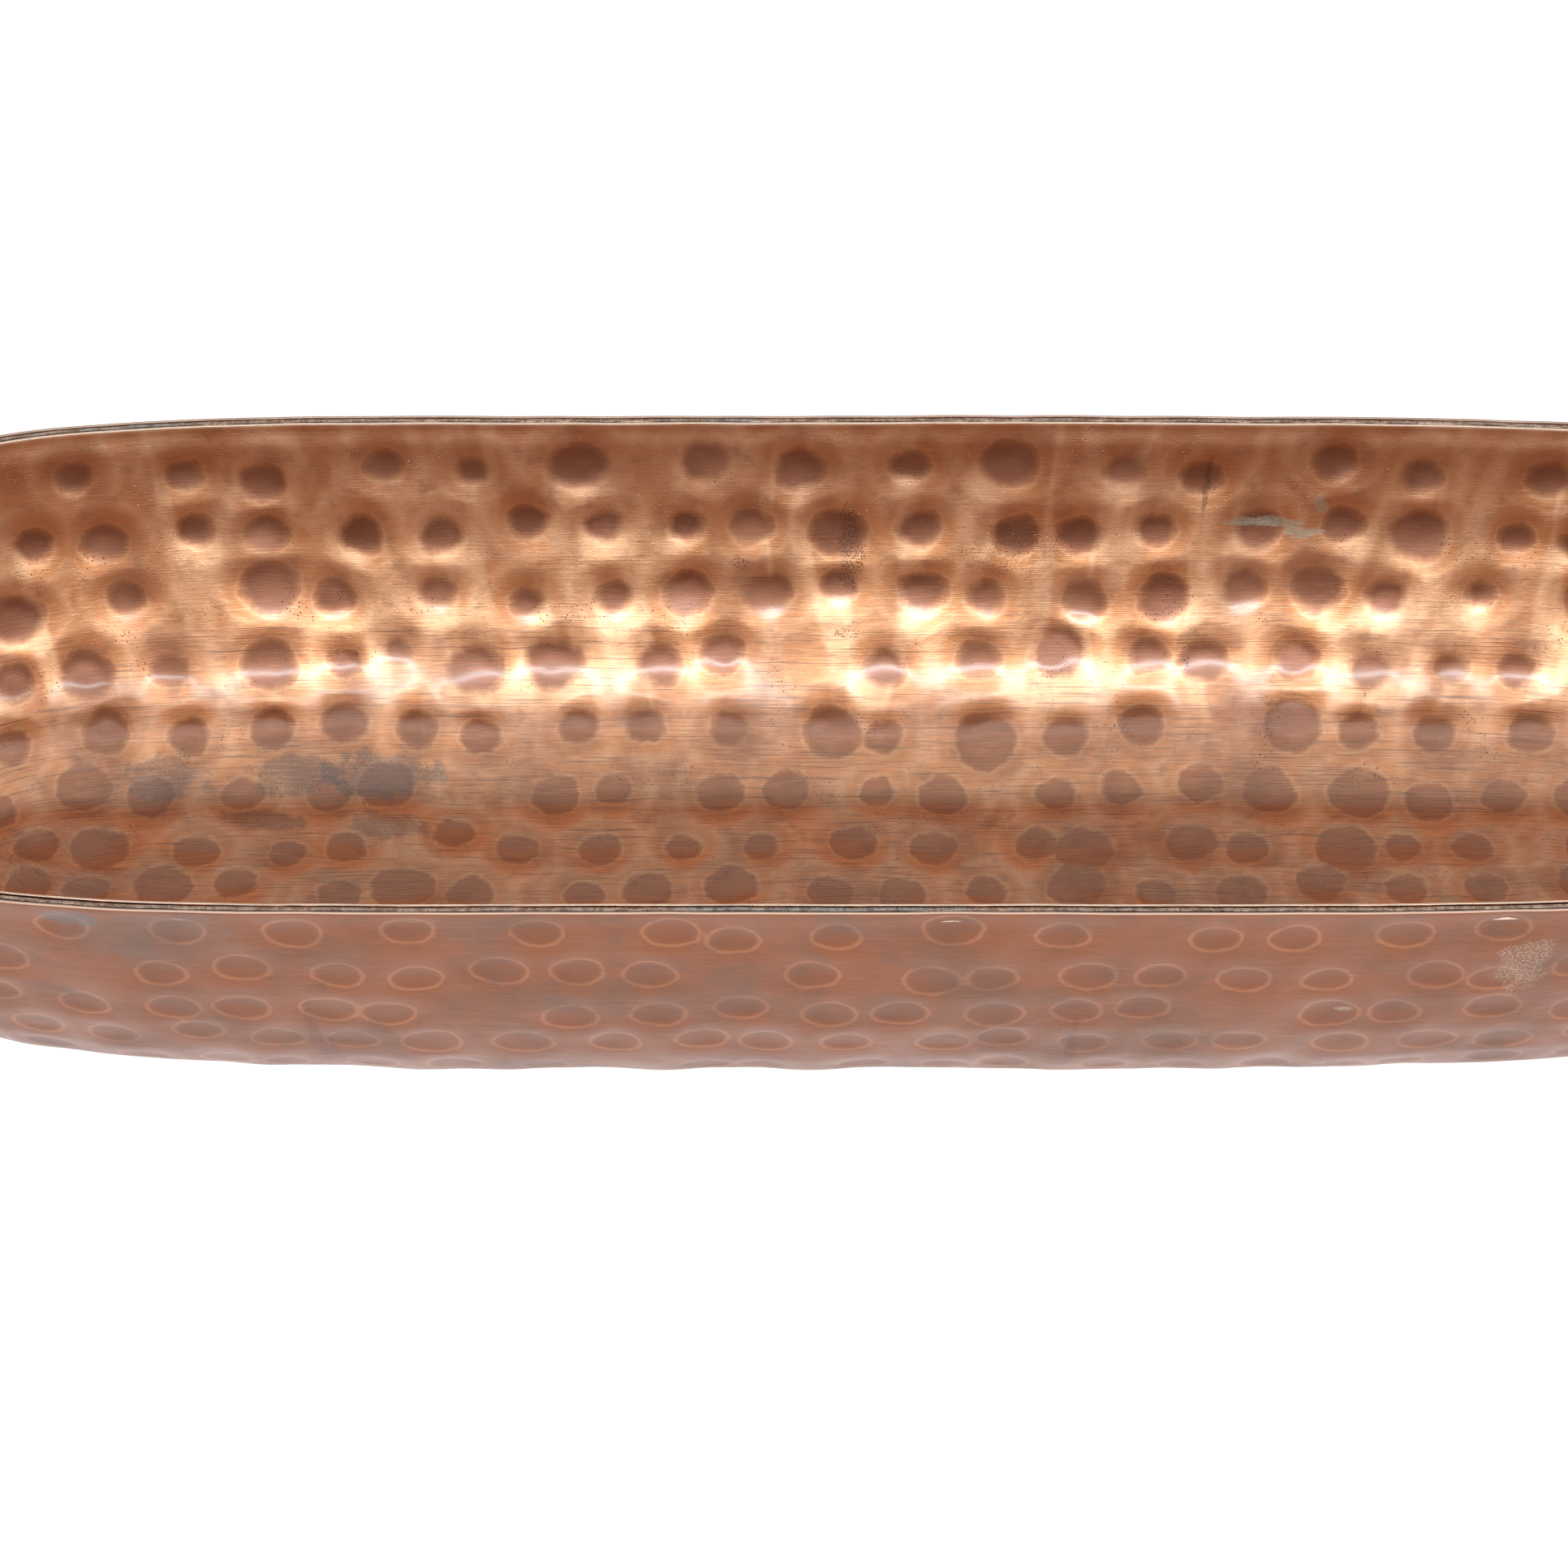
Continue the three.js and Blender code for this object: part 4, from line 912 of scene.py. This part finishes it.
def dark_copper(name):
    """Copper left to brown, with darker blooms and bright specks where it is worn."""
    f = Finish(name, metallic=1.0)
    place = f.place()
    clouds = f.noise(place, 12, 5, 0.62)
    fine = f.noise(place, 160, 3, 0.6)
    tint = f.mix(f.fade(clouds, 0.30, 0.72), (0.26, 0.145, 0.095), (0.17, 0.10, 0.075))
    tint = f.mix(f.fade(fine, 0.62, 0.75, 0.0, 0.5), tint, (0.60, 0.33, 0.20))
    rough = f.fade(clouds, 0.3, 0.7, 0.42, 0.60)
    return f.surface(tint, rough, fine, 0.25 * MM)


def braze(name):
    """The fill between the sheets: lumpy copper-brown braze, grey along some stretches."""
    f = Finish(name, metallic=1.0)
    place = f.place()
    lumps = f.noise(place, 120, 5, 0.7)
    fine = f.noise(place, 600, 3, 0.65)
    stretches = f.noise(place, 4, 3, 0.6)
    holes = f.fade(f.cells(place, 260), 0.12, 0.34, 1.0, 0.0)
    bare = f.mix(f.fade(lumps, 0.38, 0.62), (0.46, 0.29, 0.20), (0.82, 0.61, 0.48))
    dull = f.mix(f.fade(lumps, 0.38, 0.62), (0.36, 0.30, 0.26), (0.68, 0.60, 0.53))
    tint = f.mix(f.fade(stretches, 0.55, 0.62), bare, dull)
    tint = f.mix(f.times(holes, 0.6), tint, (0.05, 0.035, 0.028))
    height = f.weighted((lumps, 1.0), (fine, 0.4), (holes, -0.6))
    return f.surface(tint, f.fade(lumps, 0.3, 0.7, 0.55, 0.35), height, 0.5 * MM)


def sawn_wood(name):
    """Bare hardwood with its grain along Y and dark open pores."""
    f = Finish(name)
    place = f.place()
    ring_lines = f.noise(f.stretch(place, (60, 4, 90)), 1.4, 5, 0.6, 0.6)
    pores = f.noise(f.stretch(place, (900, 40, 900)), 1.0, 3, 0.7)
    tint = f.mix(f.fade(ring_lines, 0.36, 0.64), (0.30, 0.17, 0.085), (0.52, 0.34, 0.18))
    tint = f.mix(f.fade(pores, 0.56, 0.72, 0.0, 0.6), tint, (0.16, 0.085, 0.04))
    height = f.weighted((ring_lines, 1.0), (pores, -0.6))
    return f.surface(tint, f.fade(pores, 0.3, 0.7, 0.62, 0.8), height, 0.4 * MM)


def rubber(name):
    """Matt black rubber with some dust on it."""
    f = Finish(name)
    place = f.place()
    dust = f.noise(place, 60, 5, 0.65)
    grain = f.noise(place, 1500, 2, 0.5)
    tint = f.mix(f.fade(dust, 0.5, 0.8), (0.016, 0.016, 0.017), (0.085, 0.08, 0.075))
    return f.surface(tint, f.fade(dust, 0.3, 0.7, 0.62, 0.85), grain, 0.08 * MM)


def sheath_plastic(name):
    """Off-white plastic with dull scuffs."""
    f = Finish(name)
    place = f.place()
    scuffs = f.noise(place, 140, 4, 0.7)
    grain = f.noise(place, 1800, 2, 0.5)
    tint = f.mix(f.fade(scuffs, 0.52, 0.75), (0.72, 0.71, 0.67), (0.50, 0.47, 0.42))
    return f.surface(tint, f.fade(scuffs, 0.3, 0.7, 0.38, 0.55), grain, 0.05 * MM)


MATERIALS = {
    "basin_copper": copper_sheet("basin_copper_look", BASIN_LOOK),
    "shell_copper": copper_sheet("shell_copper_look", SHELL_LOOK),
    "rim_braze": braze("rim_braze_look"),
    "dark_copper": dark_copper("dark_copper_look"),
    "zinc_steel": plain_metal("zinc_steel_look", (0.50, 0.51, 0.52), (0.34, 0.35, 0.36), 0.36),
    "saddle_wood": sawn_wood("saddle_wood_look"),
    "rubber": rubber("rubber_look"),
    "aged_brass": plain_metal("aged_brass_look", (0.60, 0.33, 0.16), (0.34, 0.19, 0.10), 0.24),
    "raw_brass": plain_metal("raw_brass_look", (0.68, 0.50, 0.24), (0.48, 0.34, 0.17), 0.30),
    "cable_sheath": sheath_plastic("cable_sheath_look"),
}


# ---------------------------------------------------------------- the tub's pieces

def axis_distance(points, origin, direction):
    """Each point's distance from a line."""
    offset = points - np.array(origin)
    along = offset @ np.array(direction)
    return np.linalg.norm(offset - along[..., None] * np.array(direction), axis=-1)


OVERFLOW_ORIGIN = Vector(KNOB_JOINT["pos_m"])
OVERFLOW_AXIS = Vector(KNOB_JOINT["axis"]).normalized()


def overflow_frame():
    """Local +Z leaves the end wall into the tub, and local +X runs up the wall."""
    z = OVERFLOW_AXIS
    y = Vector((0, 1, 0))
    x = y.cross(z)
    frame_matrix = Matrix((x, y, z)).transposed().to_4x4()
    return Matrix.Translation(OVERFLOW_ORIGIN) @ frame_matrix


def hole_tool(name, radius):
    """A cylinder about +Z that cuts a hole of the given radius in millimetres."""
    half_height = 30
    outline = [(0, -half_height), (radius, -half_height), (radius, half_height), (0, half_height)]
    return lathe(name, outline, 0.1)


def build_basin():
    rings = np.array(wall_rings(BASIN_PROFILE) + floor_rings(BASIN_PROFILE))
    from_waste = np.hypot(rings[..., 0] - DRAIN_X, rings[..., 1])
    recess = 1 - smooth(from_waste, RECESS_BOTTOM, RECESS_BRIM)
    on_floor = (from_waste < RECESS_LIMIT) * (rings[..., 2] < HEIGHT - BASIN_DEPTH + MM)
    rings[..., 2] -= RECESS_DEPTH * recess * on_floor
    calm = smooth(from_waste, *WASTE_CALM)
    calm *= smooth(axis_distance(rings, OVERFLOW_ORIGIN, OVERFLOW_AXIS), *OVERFLOW_CALM)
    piece = skin("basin_sheet", *hammered(rings, BASIN_WORK, True, calm), True)
    waste_hole = hole_tool("waste_hole", WASTE_HOLE_MM)
    waste_hole.location = (DRAIN_X, 0, HEIGHT - BASIN_DEPTH)
    overflow_hole = hole_tool("overflow_hole", OVERFLOW_HOLE_MM)
    overflow_hole.matrix_world = overflow_frame()
    cut(piece, waste_hole)
    cut(piece, overflow_hole)
    sharpen(piece, 50)
    settle_in(piece, "tub", "basin_copper", ["inner_basin"])


def build_shell():
    rings = np.array(wall_rings(SHELL_PROFILE))
    calm = smooth(rings[..., 2] - SHELL_LOW.z, 0.0, 6 * MM)
    piece = skin("shell_sheet", *hammered(rings, SHELL_WORK, False, calm), False)
    sharpen(piece, 50)
    settle_in(piece, "tub", "shell_copper", ["outer_shell"])


def build_rim_fill():
    """The brazed fill, a little below the sheets' edges, lumpy and uneven along the rim."""
    rng = np.random.default_rng(5)
    shell_ring = ring(SHELL_PROFILE, 0.0)
    normal = outward_normals(np.array(wall_rings(SHELL_PROFILE)))[0]
    gap = BASIN_INSET - 2 * SHEET
    rows = []
    lumps = waves(rng, AROUND, 0 * AROUND, 18, 0.012, 0.10)
    for share in np.linspace(0.02, 0.98, 6):
        crown = math.sin(share * math.pi)
        wander = waves(rng, AROUND, 0 * AROUND, 12, 0.012, 0.05)
        top = shell_ring - normal * (SHEET + gap * share) + normal * RIM_SWAY[:, None]
        drop_mm = 0.6 - 0.4 * crown + 0.22 * lumps + 0.16 * wander
        top[:, 2] += RIM_LIFT - np.clip(drop_mm, 0.25, None) * MM
        rows.append(top)
    outside, inside = rows[0].copy(), rows[-1].copy()
    for bottom, inset in ((outside, 2.2 * MM), (inside, 2.86 * MM)):
        bottom[:, 2] -= FILL_DEPTH
        bottom -= normal * inset
    piece = closed_tube("rim_fill", [outside, *rows, inside])
    sharpen(piece, 60)
    settle_in(piece, "tub", "rim_braze", ["rim_seam"])


def build_plinth():
    low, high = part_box("plinth_band")
    set_in = HALF_WIDTH - SHELL_PROFILE["side"][2] - high.y
    levels = np.linspace(low.z, high.z, 8)
    loop = []
    for inward, heights in ((set_in, levels), (set_in + SHEET, levels[::-1])):
        for level in heights:
            line = ring(SHELL_PROFILE, 1.0, inward)[::2]
            line[:, 2] = level
            loop.append(line)
    piece = closed_tube("plinth_sheet", loop)
    sharpen(piece, 50)
    settle_in(piece, "tub", "dark_copper", ["plinth_band"])


def with_spider(piece, reach, low, high):
    """Fuses a hub and three spokes into a ring piece; millimetres."""
    hub = lathe("hub", [(4.3, low), (7.8, low), (7.8, high), (4.3, high)])
    spokes = [
        bar("spoke", (5.3, -1.5, low), (reach, 1.5, high), 2 * math.pi * k / 3, 0.5)
        for k in range(3)
    ]
    for part in (*spokes, hub):
        cut(piece, part, "UNION")
    return piece


def build_waste():
    flange = lathe("waste_flange", [
        (22, 128), (25.5, 128), (25.5, 156.3), (34, 156.3), (34, 157.8), (32, 158.8),
        (23.5, 158.8), (22, 157.3),
    ])
    with_spider(flange, 23, 130, 135)
    cap = lathe("waste_cap", [
        (0, 151), (4.3, 151), (4.3, 147.3), (18.5, 147.3), (18.5, 150.9), (17, 150.9),
        (17, 155.7), (18.5, 155.7), (18.5, 159.3), (30, 159.3), (30.5, 161.3), (27, 163.8),
        (14, 166.3), (0, 166.9),
    ], 1.2)
    for piece, body, node in ((flange, "tub", "drain_flange"), (cap, "stopper", "stopper_cap")):
        piece.data.transform(Matrix.Translation((DRAIN_X, 0, 0)))
        sharpen(piece)
        settle_in(piece, body, "aged_brass", [node])


def build_overflow():
    bezel = lathe("overflow_ring", [
        (20, -11), (23.5, -11), (23.5, 0.6), (33, 0.6), (33, 2), (31, 3.2), (20, 3.2),
    ])
    with_spider(bezel, 21, -6, -1)
    knob = lathe("turn_knob", [
        (0, 11.3), (4.3, 11.3), (4.3, 6), (9, 6), (9, 9.5), (28, 9.5), (28, 6.5), (31, 6.5),
        (31, 13), (29, 15), (0, 15),
    ], 1.0)
    cut(knob, bar("grip", (-24, -3.5, 14), (24, 3.5, 22), 0.0, 1.6), "UNION")
    for piece, body, node in ((bezel, "tub", "overflow_bezel"), (knob, "knob", "overflow_knob")):
        piece.data.transform(overflow_frame())
        sharpen(piece)
        settle_in(piece, body, "aged_brass", [node])


def dress_cad_nodes():
    """Gives each CAD node that stays its slot's finish."""
    for part in frame["record"]["subparts"]:
        node = frame["nodes"][part["node"]]
        if node.hide_render:
            continue
        for material_slot in node.material_slots:
            material_slot.material = MATERIALS[part["material_slot"]]


# ---------------------------------------------------------------- studio

def soft_light(name, power, size, place, color):
    lamp = bpy.data.lights.new(name, "AREA")
    lamp.shape = "RECTANGLE"
    lamp.size, lamp.size_y = size
    lamp.energy = power
    lamp.color = color
    light = bpy.data.objects.new(name, lamp)
    light.location = place
    aim = Vector(LIGHT_TARGET) - Vector(place)
    light.rotation_euler = aim.to_track_quat("-Z", "Y").to_euler()
    light.visible_camera = False
    bpy.context.scene.collection.objects.link(light)


# Each light's power in watts, its width and height, its place and its colour.
LIGHTS = {
    "front_box": (92, (5.0, 0.32), (0, -3.8, 2.40), (0.80, 0.92, 1.0)),
    "upper_box": (28, (6.0, 1.4), (0, -3.06, 2.87), (1, 1, 1)),
    "rear_box": (30, (5.0, 0.5), (0, 4.2, 1.3), (1, 1, 1)),
    "top_box": (33, (6.0, 4.2), (0, -1.2, 4.1), (1, 1, 1)),
    "back_box": (5, (6.0, 2.6), (0, 2.2, 4.2), (1, 1, 1)),
}
LIGHT_TARGET = (0, 0, 0.3)
FLOOR_HALF_SIZE = 300.0


def build_studio():
    size = FLOOR_HALF_SIZE
    corners = [(-size, -size, 0), (size, -size, 0), (size, size, 0), (-size, size, 0)]
    floor = new_object("studio_floor", corners, [(0, 1, 2, 3)])
    f = Finish("studio_floor_look")
    speckle = f.noise(f.place(), 3, 2)
    tint = f.mix(f.fade(speckle, 0.3, 0.7), (0.86, 0.86, 0.86), (0.88, 0.88, 0.88))
    f.shader.inputs["Emission Color"].default_value = (1, 1, 1, 1)
    f.shader.inputs["Emission Strength"].default_value = 0.70
    floor.data.materials.append(f.surface(tint, 0.85, speckle, 0.1 * MM))
    world = bpy.data.worlds.new("studio")
    world.use_nodes = True
    world.node_tree.nodes["Background"].inputs["Color"].default_value = (0.93, 0.95, 1.0, 1)
    world.node_tree.nodes["Background"].inputs["Strength"].default_value = 0.40
    bpy.context.scene.world = world
    for name, (power, size, place, color) in LIGHTS.items():
        soft_light(name, power, size, place, color)
    bpy.context.scene.view_settings.view_transform = "Standard"


# Fitted to the photo's rims, seen from about 50 degrees above; the lens is in millimetres.
CAMERA_PLACE = (-0.069, -3.216, 4.201)
CAMERA_TILT = math.radians(39.5)
CAMERA_LENS = 111.8


def build_camera():
    camera = bpy.data.cameras.new("photo_camera")
    camera.lens = CAMERA_LENS
    camera.sensor_width = 36
    camera.clip_end = 800
    seat = bpy.data.objects.new("photo_camera", camera)
    seat.location = CAMERA_PLACE
    seat.rotation_euler = (CAMERA_TILT, 0, 0)
    bpy.context.scene.collection.objects.link(seat)
    bpy.context.scene.camera = seat


build_camera()
build_studio()
build_basin()
build_shell()
build_rim_fill()
build_plinth()
build_waste()
build_overflow()
dress_cad_nodes()
